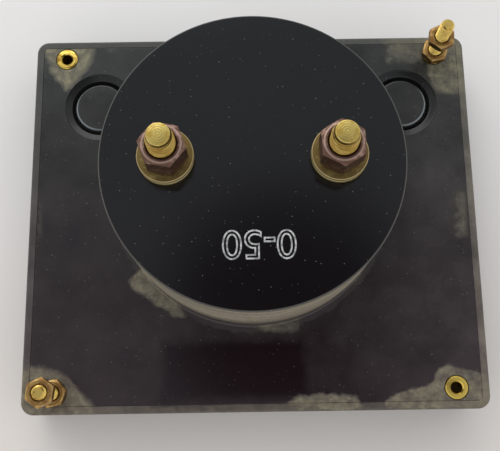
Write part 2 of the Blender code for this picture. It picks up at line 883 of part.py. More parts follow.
jewel_cup_depth = 0.6 * mm
jewel_slot = 0.5 * mm
jewel_front_length = 3.8 * mm
jewel_rear_length = 4.6 * mm

jewel_front_tip = bridge_back + jewel_stand
jewel_rear_tip = arch_front - jewel_stand


def make_magnet_and_poles(axis):
    magnet = piece("magnet", prism(
        sector(pole_outer + seat_gap, magnet_outer, -90.0, 180.0 - magnet_mouth, 24),
        magnet_front, magnet_front + magnet_length), "magnet_steel", axis)
    bevel = magnet.modifiers.new("cast edges", "BEVEL")
    bevel.width = seat_gap
    bevel.segments = 1
    bevel.limit_method = "ANGLE"
    pole_back = frame_front - seat_gap
    for name, side in sides.items():
        middle = 0.0 if side > 0.0 else 180.0
        pole = piece("pole_piece_" + name, prism(
            sector(pole_bore, pole_outer, middle, pole_half_angle, 12), pole_front, pole_back),
            "soft_iron", axis)
        bpy.context.view_layer.update()
        bore, deep = bridge_screw_radius + seat_gap, bridge_front + bridge_screw_length
        cut(pole, cylinder(bore, pole_front - overrun, deep, 10, (side * bridge_leg_x, 0.0)))
    piece("core", turned([
        (0.0, core_front),
        (core_radius - seat_gap, core_front),
        (core_radius, core_front + seat_gap),
        (core_radius, core_front + core_length - seat_gap),
        (core_radius - seat_gap, core_front + core_length),
        (0.0, core_front + core_length),
    ], 24), "soft_iron", axis)
    piece("core_spacer", prism(
        sector(core_radius + seat_gap, pole_outer - seat_gap, 90.0, spacer_half_angle, 8),
        core_front + spacer_margin, core_front + core_length - spacer_margin), "brass", axis)


def make_movement_frame(axis):
    """One casting: a ring behind the magnet, two ears, two dial posts and the rear arch."""
    frame = piece(
        "movement_frame", cylinder(frame_radius, frame_front, frame_back, 40), "cast_zinc", axis)
    bpy.context.view_layer.update()
    frame_middle, arch_middle = frame_front + frame_wall / 2, arch_front + arch_wall / 2
    arch_back, boss_back = arch_front + arch_wall, arch_front + arch_boss_height
    screw_y = frame_screw_y - pivot_offset
    ears = [
        block((-arch_reach, arch_reach), (-arch_half, arch_half), (arch_front, arch_back)),
        cylinder(arch_boss, arch_middle, boss_back, 20),
    ]
    tools = [
        cylinder(frame_opening, frame_front - overrun, frame_back + seat_gap, 32),
        cylinder(jewel_radius + seat_gap, arch_front - overrun, boss_back + overrun, 12),
    ]
    for side in sides.values():
        screw_place, post_place = (side * frame_screw_x, screw_y), (side * dial_post_x, 0.0)
        for place, reach in ((screw_place, frame_boss), (post_place, dial_post_radius + seat_gap)):
            root = ear_root / math.hypot(*place)
            ears.append(prism(
                stadium((place[0] * root, place[1] * root), place, reach, 6), frame_front, frame_back))
        ears.append(cylinder(dial_post_radius, dial_back + seat_gap, frame_middle, 14, post_place))
        foot = sorted((side * arch_foot, side * arch_reach))
        ears.append(block(foot, (-arch_half, arch_half), (frame_middle, arch_middle)))
        tools.append(cylinder(
            frame_screw_radius + seat_gap, frame_front - overrun, frame_back + overrun, 10, screw_place))
        tools.append(cylinder(
            dial_screw_radius + seat_gap, dial_front, dial_front + dial_screw_length + seat_gap, 10,
            post_place))
    post_half = 2 * spring_post_radius
    ears.append(block(
        (-post_half, post_half), (0.0, spring_post_reach + post_half),
        (arch_front + seat_gap, arch_back - seat_gap)))
    ears.append(cylinder(
        spring_post_radius, hairspring_rear_at, arch_middle, 10, (0.0, spring_post_reach)))
    join(frame, *ears)
    cut(frame, *tools)
    for name, side in sides.items():
        make_slotted_screw(
            "frame_screw_" + name, (side * frame_screw_x, frame_screw_y), frame_front - seat_gap,
            frame_screw_head, frame_screw_head_height, frame_screw_radius, frame_screw_length,
            screw_slot, -1.0)


def make_front_bridge(axis):
    """A brass bar on two legs. Its bush carries the zero lever and holds the front jewel."""
    bar = stadium((-bridge_leg_x, 0.0), (bridge_leg_x, 0.0), bridge_half, 6)
    bridge = piece("front_bridge", prism(bar, bridge_front, bridge_back), "brass", axis)
    bpy.context.view_layer.update()
    middle = bridge_front + bridge_wall / 2
    legs = [(side * bridge_leg_x, 0.0) for side in sides.values()]
    join(
        bridge,
        cylinder(bridge_ring, bridge_front + seat_gap / 2, bridge_back - seat_gap / 2, 24),
        cylinder(lever_bush, lever_front - seat_gap, middle, 16),
        *[cylinder(bridge_leg_radius, middle, pole_front - seat_gap, 12, leg) for leg in legs],
    )
    bore = bridge_screw_radius + seat_gap
    cut(
        bridge,
        cylinder(jewel_radius + seat_gap, lever_front - overrun, bridge_back + overrun, 12),
        *[cylinder(bore, bridge_front - overrun, pole_front, 10, leg) for leg in legs],
    )
    for name, side in sides.items():
        make_slotted_screw(
            "bridge_screw_" + name, (side * bridge_leg_x, pivot_offset), bridge_front - seat_gap,
            bridge_screw_head, bridge_screw_head_height, bridge_screw_radius, bridge_screw_length,
            jewel_slot, -1.0)


def make_jewel_screw(name, axis, tip, length, out):
    """A headless screw with the jewel's cup in its inner end. out is the way its slot points."""
    screw = piece(name, turned([
        (0.0, tip + out * jewel_cup_depth),
        (jewel_cup_radius, tip),
        (jewel_radius, tip),
        (jewel_radius, tip + out * length),
        (0.0, tip + out * length),
    ], 12), "brass", axis)
    bpy.context.view_layer.update()
    end = tip + out * length
    span = sorted((end - out * jewel_cup_depth, end + out * overrun))
    wide = jewel_radius + overrun
    return cut(screw, block((-wide, wide), (-jewel_slot / 2, jewel_slot / 2), span))


# The moving half: a coil on two staffs, with its pointer and two flat hairsprings

former_half = 8.1 * mm
former_depth = 3.6 * mm
former_corner = 0.6 * mm
winding_depth = 3.2 * mm
staff_disc = 2.2 * mm
staff_radius = 0.6 * mm
staff_point = 0.5 * mm
pointer_reach = 47.0 * mm
pointer_root = 0.75 * mm
pointer_tip = 0.28 * mm
pointer_hub = 2.2 * mm
pointer_tail = 6.8 * mm
pointer_arm_half = 0.4 * mm
balance_radius = 1.0 * mm
hairspring_turns = 3.5
hairspring_steps = 12
hairspring_outer = 4.5 * mm
hairspring_wall = 0.16 * mm
collet_radius = 1.4 * mm


def flat_ring(half, front, back, wall, depth, corner, steps):
    """A rectangular ring standing in the plane of X and Z, wide along Y."""
    middle = (0.0, (front + back) / 2)
    outer = rounded(2 * (half + wall), back - front + 2 * wall, corner + wall, steps, middle)
    inner = rounded(2 * half, back - front, corner, steps, middle)
    shape = bmesh.new()
    loops = []
    for y, points in ((-depth / 2, outer), (depth / 2, outer), (depth / 2, inner), (-depth / 2, inner)):
        loops.append([shape.verts.new((x, y, z)) for x, z in points])
    for first, second in zip(loops, loops[1:] + loops[:1]):
        for index in range(len(first)):
            after = (index + 1) % len(first)
            shape.faces.new((first[index], first[after], second[after], second[index]))
    return shape


def hairspring(at):
    """A flat spiral ribbon that grows evenly from its collet to its outer end, towards +Y."""
    steps = round(hairspring_turns * hairspring_steps)
    shape = bmesh.new()
    rings = []
    start = collet_radius - hairspring_wall
    low, high, half = at, at + hairspring_height, hairspring_wall / 2
    for step in range(steps + 1):
        share = step / steps
        radius = start + (hairspring_outer - start) * share
        angle = math.tau * (0.25 + hairspring_turns * (share - 1.0)) + math.radians(scale_sweep / 2)
        along = Matrix.Rotation(angle, 3, "Z")
        section = ((radius - half, low), (radius + half, low), (radius + half, high), (radius - half, high))
        rings.append([shape.verts.new(along @ Vector((r, 0.0, z))) for r, z in section])
    for first, second in zip(rings, rings[1:]):
        for index in range(4):
            after = (index + 1) % 4
            shape.faces.new((first[index], first[after], second[after], second[index]))
    shape.faces.new(list(reversed(rings[0])))
    shape.faces.new(rings[-1])
    return shape


def make_moving_coil(axis):
    front = core_front - former_margin
    back = core_front + core_length + former_margin
    piece("coil_former", flat_ring(
        former_half, front, back, former_wall, former_depth, former_corner, 2), "aluminium", axis)
    piece("coil_winding", flat_ring(
        former_half + former_lap, front - former_lap, back + former_lap, winding_wall, winding_depth,
        former_corner + former_lap, 4), "copper_wire", axis)
    for name, face, tip, out in (
        ("front", winding_front - seat_gap, jewel_front_tip - seat_gap, -1.0),
        ("rear", winding_back + seat_gap, jewel_rear_tip + seat_gap, 1.0),
    ):
        piece("staff_" + name, turned([
            (0.0, face),
            (staff_disc, face),
            (staff_disc, face + out * staff_disc_height),
            (staff_radius, face + out * staff_disc_height),
            (staff_radius, tip - out * staff_point),
            (0.0, tip),
        ], 12), "steel", axis)


def make_pointer(axis):
    """A tapered needle with three arms behind the hub, each with its balance weight."""
    low, high = pointer_front - seat_gap / 2, pointer_back + seat_gap / 2
    pointer = piece("pointer", prism([
        (-pointer_tip, -pointer_reach),
        (pointer_tip, -pointer_reach),
        (pointer_root, 0.0),
        (-pointer_root, 0.0),
    ], pointer_front, pointer_back), "black_enamel", axis)
    bpy.context.view_layer.update()
    arm = pointer_arm_half
    arm_span = (pointer_front + arm / 4, pointer_back - arm / 4)
    weights = ((0.0, pointer_tail), (pointer_tail, 0.0), (-pointer_tail, 0.0))
    join(
        pointer,
        cylinder(pointer_hub, low, high, 18),
        block((-arm, arm), (0.0, pointer_tail), arm_span),
        block((-pointer_tail, pointer_tail), (-arm, arm), arm_span),
        *[cylinder(balance_radius, low, high, 10, place) for place in weights],
    )
    return cut(pointer, cylinder(staff_radius + seat_gap, low - overrun, high + overrun, 12))


def make_hairsprings(axis):
    for name, at in (("front", hairspring_front_at), ("rear", hairspring_rear_at)):
        bore, foot = staff_radius + seat_gap, at - hairspring_wall / 2
        top = at + hairspring_height + hairspring_wall / 2
        spring = piece("hairspring_" + name, turned([
            (bore, foot), (collet_radius, foot), (collet_radius, top), (bore, top),
        ], 12), "brass", axis)
        bpy.context.view_layer.update()
        join(spring, hairspring(at))


# The shunt carries the current: two brass blocks under the stud heads and a strip between

block_outer = 25.2 * mm
block_half = 6.0 * mm
block_corner = 1.0 * mm
rib_inner = 10.6 * mm
rib_wall = 2.4 * mm
rib_height = 4.0 * mm
strip_wall = 0.8 * mm
strip_half = 4.5 * mm
strip_lap = 1.5 * mm
strip_rise = 1.7 * mm
strip_notch = 1.2 * mm
strip_notch_x = 3.0 * mm

strip_front = block_front - rib_height + strip_rise


def make_shunt():
    low, high = barrel_offset - block_half, barrel_offset + block_half
    for name, side in sides.items():
        middle = (side * (rib_inner + block_outer) / 2, barrel_offset)
        body = piece("shunt_block_" + name, prism(
            rounded(block_outer - rib_inner, 2 * block_half, block_corner, 3, middle),
            block_front, block_front + block_wall), "brass")
        span = sorted((side * rib_inner, side * (rib_inner + rib_wall)))
        inset = block_corner / 2
        rib = (block_front - rib_height, block_front + block_wall / 2)
        join(body, block(span, (low + inset, high - inset), rib))
        slot = sorted((side * (rib_inner - overrun), side * (rib_inner + strip_lap + seat_gap)))
        wide = strip_half + seat_gap
        stud_place = (side * terminal_pitch / 2, barrel_offset)
        cut(
            body,
            block(
                slot, (barrel_offset - wide, barrel_offset + wide),
                (strip_front - seat_gap, strip_front + strip_wall + seat_gap)),
            cylinder(
                stud_radius + seat_gap, block_front - overrun, block_front + block_wall + overrun, 18,
                stud_place),
        )
    reach = rib_inner + strip_lap
    strip = piece("shunt_strip", block(
        (-reach, reach), (barrel_offset - strip_half, barrel_offset + strip_half),
        (strip_front, strip_front + strip_wall)), "manganin")
    low, high = strip_front - overrun, strip_front + strip_wall + overrun
    cut(strip, *[
        cylinder(strip_notch, low, high, 12, (x, barrel_offset + y))
        for x in (-strip_notch_x, strip_notch_x) for y in (-strip_half, strip_half)
    ])


# Two cloth-covered leads carry the coil's current from the shunt

lead_radius = 0.5 * mm
lead_steps = 2
lead_left_route = [
    (-11.8 * mm, 15.0 * mm, 39.8 * mm),
    (-12.2 * mm, 18.5 * mm, 38.2 * mm),
    (-12.8 * mm, 21.3 * mm, 35.2 * mm),
    (-13.0 * mm, 22.0 * mm, 33.0 * mm),
]
lead_right_route = [
    (11.8 * mm, 16.0 * mm, 39.8 * mm),
    (11.2 * mm, 24.0 * mm, 38.6 * mm),
    (9.5 * mm, 32.0 * mm, 35.5 * mm),
    (8.2 * mm, 36.0 * mm, 31.0 * mm),
    (7.8 * mm, 36.8 * mm, 26.0 * mm),
    (7.6 * mm, 36.8 * mm, 20.0 * mm),
    (7.6 * mm, 36.0 * mm, 15.0 * mm),
    (7.8 * mm, 33.0 * mm, 11.0 * mm),
    (8.2 * mm, 28.0 * mm, 8.4 * mm),
    (8.6 * mm, 22.5 * mm, 6.7 * mm),
    (8.8 * mm, 19.0 * mm, 6.0 * mm),
]


def smooth_route(points, steps):
    """Points on a curve through the route's own points."""
    vectors = [Vector(point) for point in points]
    ends = [2 * vectors[0] - vectors[1]] + vectors + [2 * vectors[-1] - vectors[-2]]
    found = []
    for a, b, c, d in zip(ends, ends[1:], ends[2:], ends[3:]):
        for step in range(steps):
            t = step / steps
            bend = (2 * a - 5 * b + 4 * c - d) * t ** 2 + (3 * b - a - 3 * c + d) * t ** 3
            found.append(0.5 * (2 * b + (c - a) * t + bend))
    return found + [vectors[-1]]


def make_lead(name, points):
    curve = bpy.data.curves.new(name, "CURVE")
    curve.dimensions = "3D"
    curve.bevel_depth = lead_radius
    curve.bevel_resolution = 1
    curve.use_fill_caps = True
    spline = curve.splines.new("POLY")
    route = smooth_route(points, lead_steps)
    spline.points.add(len(route) - 1)
    for point, place in zip(spline.points, route):
        point.co = (*place, 1.0)
    curve.materials.append(finish("cloth_wire"))
    made = bpy.data.objects.new(name, curve)
    bpy.context.scene.collection.objects.link(made)


def make_leads():
    start_y = barrel_offset + block_half - block_corner / 2 + seat_gap
    start_z = strip_front + strip_wall / 2
    first, last = lead_left_route[0], lead_left_route[-1]
    frame_end = (last[0], last[1], frame_back + seat_gap)
    make_lead("lead_left", [(first[0], start_y, start_z), *lead_left_route, frame_end])
    first, last = lead_right_route[0], lead_right_route[-1]
    bridge_end = (last[0], pivot_offset + bridge_half + seat_gap, bridge_front + bridge_wall / 2)
    make_lead("lead_right", [(first[0], start_y, start_z), *lead_right_route, bridge_end])


make_front_cover()
make_rear_case()
make_case_fasteners()
make_mounting_hardware()
make_terminals()
make_window()
make_dial()
make_zero_screw()
make_zero_lever()

movement_axis = axis_at("movement_axis", 0.0, pivot_offset)
make_magnet_and_poles(movement_axis)
make_movement_frame(movement_axis)
make_front_bridge(movement_axis)
make_jewel_screw("jewel_screw_front", movement_axis, jewel_front_tip, jewel_front_length, -1.0)
make_jewel_screw("jewel_screw_rear", movement_axis, jewel_rear_tip, jewel_rear_length, 1.0)

coil_axis = axis_at("coil_axis", 0.0, pivot_offset)
coil_axis.rotation_euler.z = -math.radians(scale_sweep / 2)
make_moving_coil(coil_axis)
make_pointer(coil_axis)
make_hairsprings(coil_axis)

make_shunt()
make_leads()
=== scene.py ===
import math
from functools import partial

import bmesh
import bpy
from mathutils import Matrix, Vector


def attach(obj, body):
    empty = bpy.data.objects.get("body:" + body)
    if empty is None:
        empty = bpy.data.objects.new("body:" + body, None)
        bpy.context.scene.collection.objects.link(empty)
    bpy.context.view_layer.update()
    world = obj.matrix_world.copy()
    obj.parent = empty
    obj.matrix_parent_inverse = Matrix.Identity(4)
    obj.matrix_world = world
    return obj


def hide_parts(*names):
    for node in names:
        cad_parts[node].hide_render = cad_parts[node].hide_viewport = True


# Panel ammeter lying on its dial, seen from behind. Metres. +Z points out of the back of the
# case, -Y towards the top of the dial; left, right, top and bottom are the dial reader's.

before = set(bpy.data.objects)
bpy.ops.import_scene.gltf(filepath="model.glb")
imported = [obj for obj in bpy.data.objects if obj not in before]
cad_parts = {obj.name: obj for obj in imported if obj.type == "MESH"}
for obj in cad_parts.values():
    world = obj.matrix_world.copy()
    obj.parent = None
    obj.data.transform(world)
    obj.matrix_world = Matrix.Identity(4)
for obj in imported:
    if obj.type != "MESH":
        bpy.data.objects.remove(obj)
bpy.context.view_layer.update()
print("frame loaded,", len(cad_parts), "nodes")

mm = 0.001
close = 0.01 * mm  # places nearer than this are the same place
weld = 0.001 * mm  # and corners nearer than this are merged
sides = {"left": -1, "right": 1}


def hexColour(text):
    # sRGB hex to the linear colour that Blender works in
    parts = [int(text[i:i + 2], 16) / 255 for i in (1, 3, 5)]
    return [p / 12.92 if p < 0.0404 else ((p + 0.055) / 1.055) ** 2.4 for p in parts] + [1.0]


def resultOf(node):
    # the socket a node hands on: a colour mix has it third, every other node first
    colourMix = node.bl_idname == "ShaderNodeMix" and node.data_type == "RGBA"
    return node.outputs[2 if colourMix else 0]


def feed(node, inputs):
    # a node or a socket is linked, a hex text is a colour, and the rest is the socket's own value
    for key, value in inputs.items():
        value = resultOf(value) if isinstance(value, bpy.types.Node) else value
        if isinstance(value, bpy.types.NodeSocket):
            node.id_data.links.new(value, node.inputs[key])
        else:
            value = hexColour(value) if isinstance(value, str) else value
            node.inputs[key].default_value = value


def addNode(tree, kind, inputs={}, **settings):
    # one node with its settings and links
    node = tree.nodes.new("ShaderNode" + kind)
    for key, value in settings.items():
        setattr(node, key, value)
    feed(node, inputs)
    return node


def startMaterial(name, shaderInputs, centre=(0, 0, 0)):
    # a new material, what adds a node to it, its shader, and Object coordinates centred on a place
    material = bpy.data.materials.new(name)
    material.use_nodes = True
    shader = material.node_tree.nodes["Principled BSDF"]
    feed(shader, shaderInputs)
    add = partial(addNode, material.node_tree)
    place = add("Mapping", {"Vector": add("TexCoord").outputs["Object"],
                            "Location": [-c for c in centre]})
    return material, add, shader, place


# modelling helpers

def shifted(shape, *way):
    bmesh.ops.translate(shape, verts=shape.verts[:], vec=way)
    return shape


def bevel(shape, edges, amount, segments):
    bmesh.ops.bevel(shape, geom=edges, offset=amount, segments=segments, affect="EDGES",
                    profile=0.5, material=-1)


def spun(profile, steps=48, place=(0, 0), closed=False):
    # turns (radius, height) points about a vertical axis at place
    shape = bmesh.new()
    points = [shape.verts.new((r, 0, z)) for r, z in profile]
    edges = [shape.edges.new(pair) for pair in zip(points, points[1:])]
    if closed:
        edges.append(shape.edges.new((points[-1], points[0])))
    bmesh.ops.spin(shape, geom=points + edges, cent=(0, 0, 0), axis=(0, 0, 1), angle=math.tau,
                   steps=steps, use_merge=True)
    bmesh.ops.remove_doubles(shape, verts=shape.verts[:], dist=weld)
    bmesh.ops.recalc_face_normals(shape, faces=shape.faces[:])
    return shifted(shape, *place, 0)


def roundRings(shape, rings, place=(0, 0), segments=3):
    # rounds the circular edges at (radius, height) by an amount
    for radius, height, amount in rings:
        edges = []
        for edge in shape.edges:
            if all(abs(math.hypot(v.co.x - place[0], v.co.y - place[1]) - radius) < close
                   and abs(v.co.z - height) < close for v in edge.verts):
                edges.append(edge)
        bevel(shape, edges, amount, segments)
    return shape


def slab(width, height, low, high, corner=0, steps=8, place=(0, 0)):
    # a plate with round corners
    shape = bmesh.new()
    bmesh.ops.create_cube(shape, size=1)
    bmesh.ops.scale(shape, verts=shape.verts[:], vec=(width, height, high - low))
    shifted(shape, *place, (low + high) / 2)
    if corner:
        upright = [e for e in shape.edges if abs(e.verts[0].co.z - e.verts[1].co.z) > close]
        bevel(shape, upright, corner, steps)
    return shape


def roundRim(shape, height, amount, segments=4):
    # rounds the outer edge of the flat face at that height
    flat = [f for f in shape.faces if all(abs(v.co.z - height) < close for v in f.verts)]
    edges = [e for e in shape.edges if sum(f in flat for f in e.link_faces) == 1]
    bevel(shape, edges, amount, segments)


def drum(radius, low, high, steps=32, place=(0, 0)):
    shape = bmesh.new()
    bmesh.ops.create_cone(shape, cap_ends=True, segments=steps, radius1=radius, radius2=radius,
                          depth=high - low)
    return shifted(shape, *place, (low + high) / 2)


def newObject(name, data):
    made = bpy.data.objects.new(name, data)
    bpy.context.scene.collection.objects.link(made)
    return made


def looseObject(name, shape):
    mesh = bpy.data.meshes.new(name)
    shape.to_mesh(mesh)
    shape.free()
    return newObject(name, mesh)


def finalMesh(made):
    # what an object's modifiers or its curve come to
    bpy.context.view_layer.update()
    return bpy.data.meshes.new_from_object(
        made.evaluated_get(bpy.context.evaluated_depsgraph_get()))


def carve(target, tools, operation="DIFFERENCE"):
    # cuts or joins shapes with an object for good
    for shape in tools:
        tool = looseObject("tool", shape)
        boolean = target.modifiers.new("carve", "BOOLEAN")
        boolean.operation, boolean.solver, boolean.object = operation, "EXACT", tool
        target.data = finalMesh(target)
        target.modifiers.clear()
        bpy.data.objects.remove(tool)


def finishPiece(made, material, node, sharp=None):
    # smooth shading, finish, and the CAD node it stands for; a moulded piece has no angle for its
    # sharp edges and is shaded evenly
    made.data.shade_smooth()
    made.data.set_sharp_from_angle(angle=math.radians(sharp or 35))
    made.data.materials.append(material)
    if not sharp:
        made.modifiers.new("even shading", "WEIGHTED_NORMAL").keep_sharp = True
    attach(made, "meter")
    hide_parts(node)


# a tooth's depth and its corners, in shares of the pitch
thread = {"depth": 0.54, "rise": 0.12, "crest": 0.5, "fall": 0.62}


def threadedRod(radius, pitch, low, high, taper, steps=28, place=(0, 0)):
    # one tooth is spun along a helix, cut level at both ends and turned down towards the tip;
    # the taper is its depth and its length
    depth, length = taper
    root = radius - thread["depth"] * pitch
    shape = bmesh.new()
    tooth = [(root, 0), (root, thread["rise"]), (radius, thread["crest"]),
             (radius, thread["fall"]), (root, 1)]
    points = [shape.verts.new((r, 0, low + (z - 1) * pitch)) for r, z in tooth]
    edges = [shape.edges.new(pair) for pair in zip(points, points[1:])]
    turns = math.ceil((high - low) / pitch) + 2
    bmesh.ops.spin(shape, geom=points + edges, cent=(0, 0, 0), axis=(0, 0, 1),
                   dvec=(0, 0, pitch / steps), angle=math.tau * turns, steps=steps * turns,
                   use_merge=False)
    bmesh.ops.remove_doubles(shape, verts=shape.verts[:], dist=2 * weld)
    for level, up in ((low, False), (high, True)):
        bmesh.ops.bisect_plane(shape, geom=shape.verts[:] + shape.edges[:] + shape.faces[:],
                               dist=weld / 2, plane_co=(0, 0, level), plane_no=(0, 0, 1),
                               clear_outer=up, clear_inner=not up)
    bmesh.ops.holes_fill(shape, edges=[e for e in shape.edges if e.is_boundary], sides=0)
    for vert in shape.verts:
        reach = math.hypot(vert.co.x, vert.co.y)
        allowed = radius - depth * (1 - (high - vert.co.z) / length)
        if reach > allowed:
            vert.co.x *= allowed / reach
            vert.co.y *= allowed / reach
    bmesh.ops.recalc_face_normals(shape, faces=shape.faces[:])
    return shifted(shape, *place, 0)


# the cone's slope in degrees, the edge of its faces, and the countersink as a share and more
nutFace = {"slope": 33, "edge": 0.12 * mm, "sinkShare": 0.08, "sinkMore": 0.1 * mm}


def hexNut(name, flats, bore, low, high, topRadius, turn, place):
    # a hexagon bar faced off with a cone at both ends, then bored and countersunk
    nut = looseObject(name, drum(flats / math.sqrt(3), low, high, 6))
    nut.data.transform(Matrix.Rotation(math.radians(turn - 180 / 6), 4, "Z"))
    wide = flats / math.sqrt(3) + mm
    drop = (wide - topRadius) * math.tan(math.radians(nutFace["slope"]))
    faced = spun([(0, low), (topRadius, low), (wide, low + drop), (wide, high - drop),
                  (topRadius, high), (0, high)], 96)
    roundRings(faced, [(topRadius, high, nutFace["edge"]), (topRadius, low, nutFace["edge"])])
    sink = nutFace["sinkShare"] * bore + nutFace["sinkMore"]
    hole = spun([(0, low - mm), (bore, low - mm), (bore, high - sink), (bore + sink, high),
                 (bore + sink, high + mm), (0, high + mm)], 48)
    carve(nut, [faced], "INTERSECT")
    carve(nut, [hole])
    nut.data.transform(Matrix.Translation((*place, 0)))
    return nut


# black phenolic mouldings

flange = {"width": 118 * mm, "height": 101 * mm, "depth": 16 * mm, "corner": 3.2 * mm,
          "rim": 2 * mm, "side": 3.2 * mm, "front": 2.6 * mm}
studs = {end + "_" + name: (side * 50.6 * mm, level * 45.2 * mm)
         for end, level in (("top", -1), ("bottom", 1)) for name, side in sides.items()}
plugs = {name: (side * 41.06 * mm, 31.1 * mm) for name, side in sides.items()}
barrel = {"radius": 35.3 * mm, "inside": 32.9 * mm, "middle": (0, 6.3 * mm), "back": 46.5 * mm,
          "floor": 43.7 * mm, "edge": 0.35 * mm}
terminals = {name: (side * 19.7 * mm, barrel["middle"][1]) for name, side in sides.items()}


def region(add, vector, outline, soft):
    # 1 inside a convex outline and 0 outside, with a soft edge; outline and edge are in mm
    pairs = list(zip(outline, outline[1:] + outline[:1]))
    turning = sum(a[0] * b[1] - a[1] * b[0] for a, b in pairs)
    away = None
    for a, b in pairs:
        out = Vector((b[1] - a[1], a[0] - b[0], 0)).normalized() * (1 if turning > 0 else -1)
        side = add("VectorMath", {0: vector, 1: out}, operation="DOT_PRODUCT").outputs[1]
        side = add("Math", {0: side, 1: out.dot((*a, 0)) * mm}, operation="SUBTRACT")
        if away:
            side = add("Math", {0: away, 1: side, 2: 1.5 * mm}, operation="SMOOTH_MAX")
        away = side
    return add("MapRange", {"Value": away, "From Min": soft * mm, "From Max": -soft * mm},
               interpolation_type="SMOOTHSTEP")


def ringRegion(add, vector, centre, radius, soft):
    # 1 inside an upright cylinder about centre and 0 outside
    flat = add("VectorMath", {0: vector, 1: (1, 1, 0)}, operation="MULTIPLY")
    away = add("VectorMath", {0: flat, 1: (*centre, 0)}, operation="DISTANCE").outputs["Value"]
    return add("MapRange", {"Value": away, "From Min": radius + soft, "From Max": radius - soft},
               interpolation_type="SMOOTHSTEP")


# what dust and old sealant have left round the corners and along the barrel's foot: how thick it
# lies, how soft its edge is, and its outline in mm
leftovers = [
    (0.88, 0.5, [(-57.5, 49), (-43.1, 49), (-43.8, 43.8), (-49.8, 36.0), (-51.2, 36.3),
                 (-54.8, 41)]),
    (0.6, 0.9, [(37.8, 50.6), (59.5, 50.6), (59.5, 42.6), (37.9, 43.0)]),
    (0.8, 0.7, [(47.6, 46.4), (59.5, 49.7), (59.4, 33.4), (50.5, 33.6)]),
    (0.75, 0.4, [(-60, -38.0), (-51.1, -38.7), (-46.8, -40.9), (-43.9, -44.4), (-39.6, -48.4),
                 (-39.5, -51), (-60, -51)]),
    (0.8, 0.25, [(32.0, -50.5), (32.5, -48.3), (34.4, -46.3), (44.0, -43.8), (48.6, -42.5),
                 (48.6, -50.5)]),
    (0.75, 0.25, [(43.6, -45.5), (45.7, -41.0), (48.9, -39.3), (52.7, -40.3), (59, -42.3),
                  (59, -50.5), (43.2, -50.5)]),
    (0.85, 0.3, [(7.4, -50.5), (8.2, -47.9), (11.5, -46.4), (22.2, -46.1), (25.4, -46.6),
                 (27.4, -50.5)]),
    (0.5, 0.5, [(53.7, 5.8), (57.0, 5.7), (56.4, -6.7), (53.0, -6.6)]),
    (0.3, 0.6, [(-57.4, 5.4), (-55.4, 5.4), (-55.2, -6.5), (-57.1, -6.4)]),
    (0.3, 0.6, [(-39.4, 48.9), (-37.0, 48.9), (-37.0, 47.2), (-39.4, 47.2)]),
    (0.85, 0.4, [(-32.3, -16.5), (-31.2, -19.6), (-26.4, -22.6), (-20.4, -26.9), (-17.4, -27.0),
                 (-22, -18), (-28, -13)]),
    (0.6, 0.4, [(0.2, -27), (0.2, -30.8), (11.2, -30.6), (11.8, -27), (6, -25)]),
    (0.5, 0.5, [(23.5, -19.0), (27.2, -18.6), (28.6, -14.6), (25.0, -14.0)]),
]
# painted reflection: the patch below the barrel where the film is taken away, so the bare gloss
# shows dark
darkReflectionPatch = [(-23.5, -33), (12.5, -32.5), (13.5, -47.0), (-23.0, -47.0)]  # in mm too
# how much of the dust film stays in each place, and the sizes that go with it
film = {"wander": 2.2 * mm, "barrelEnd": 0.06, "dialSide": 0.12, "rightSide": 1.6, "darkReflectionPatch": 0.015,
        "foot": 0.26, "footReach": 1.9 * mm, "recess": 0.07, "recessRadius": 9.6 * mm,
        "scuffAndHighlight": 0.55, "scuffAndHighlightReach": 0.3 * mm, "lint": 0.45}


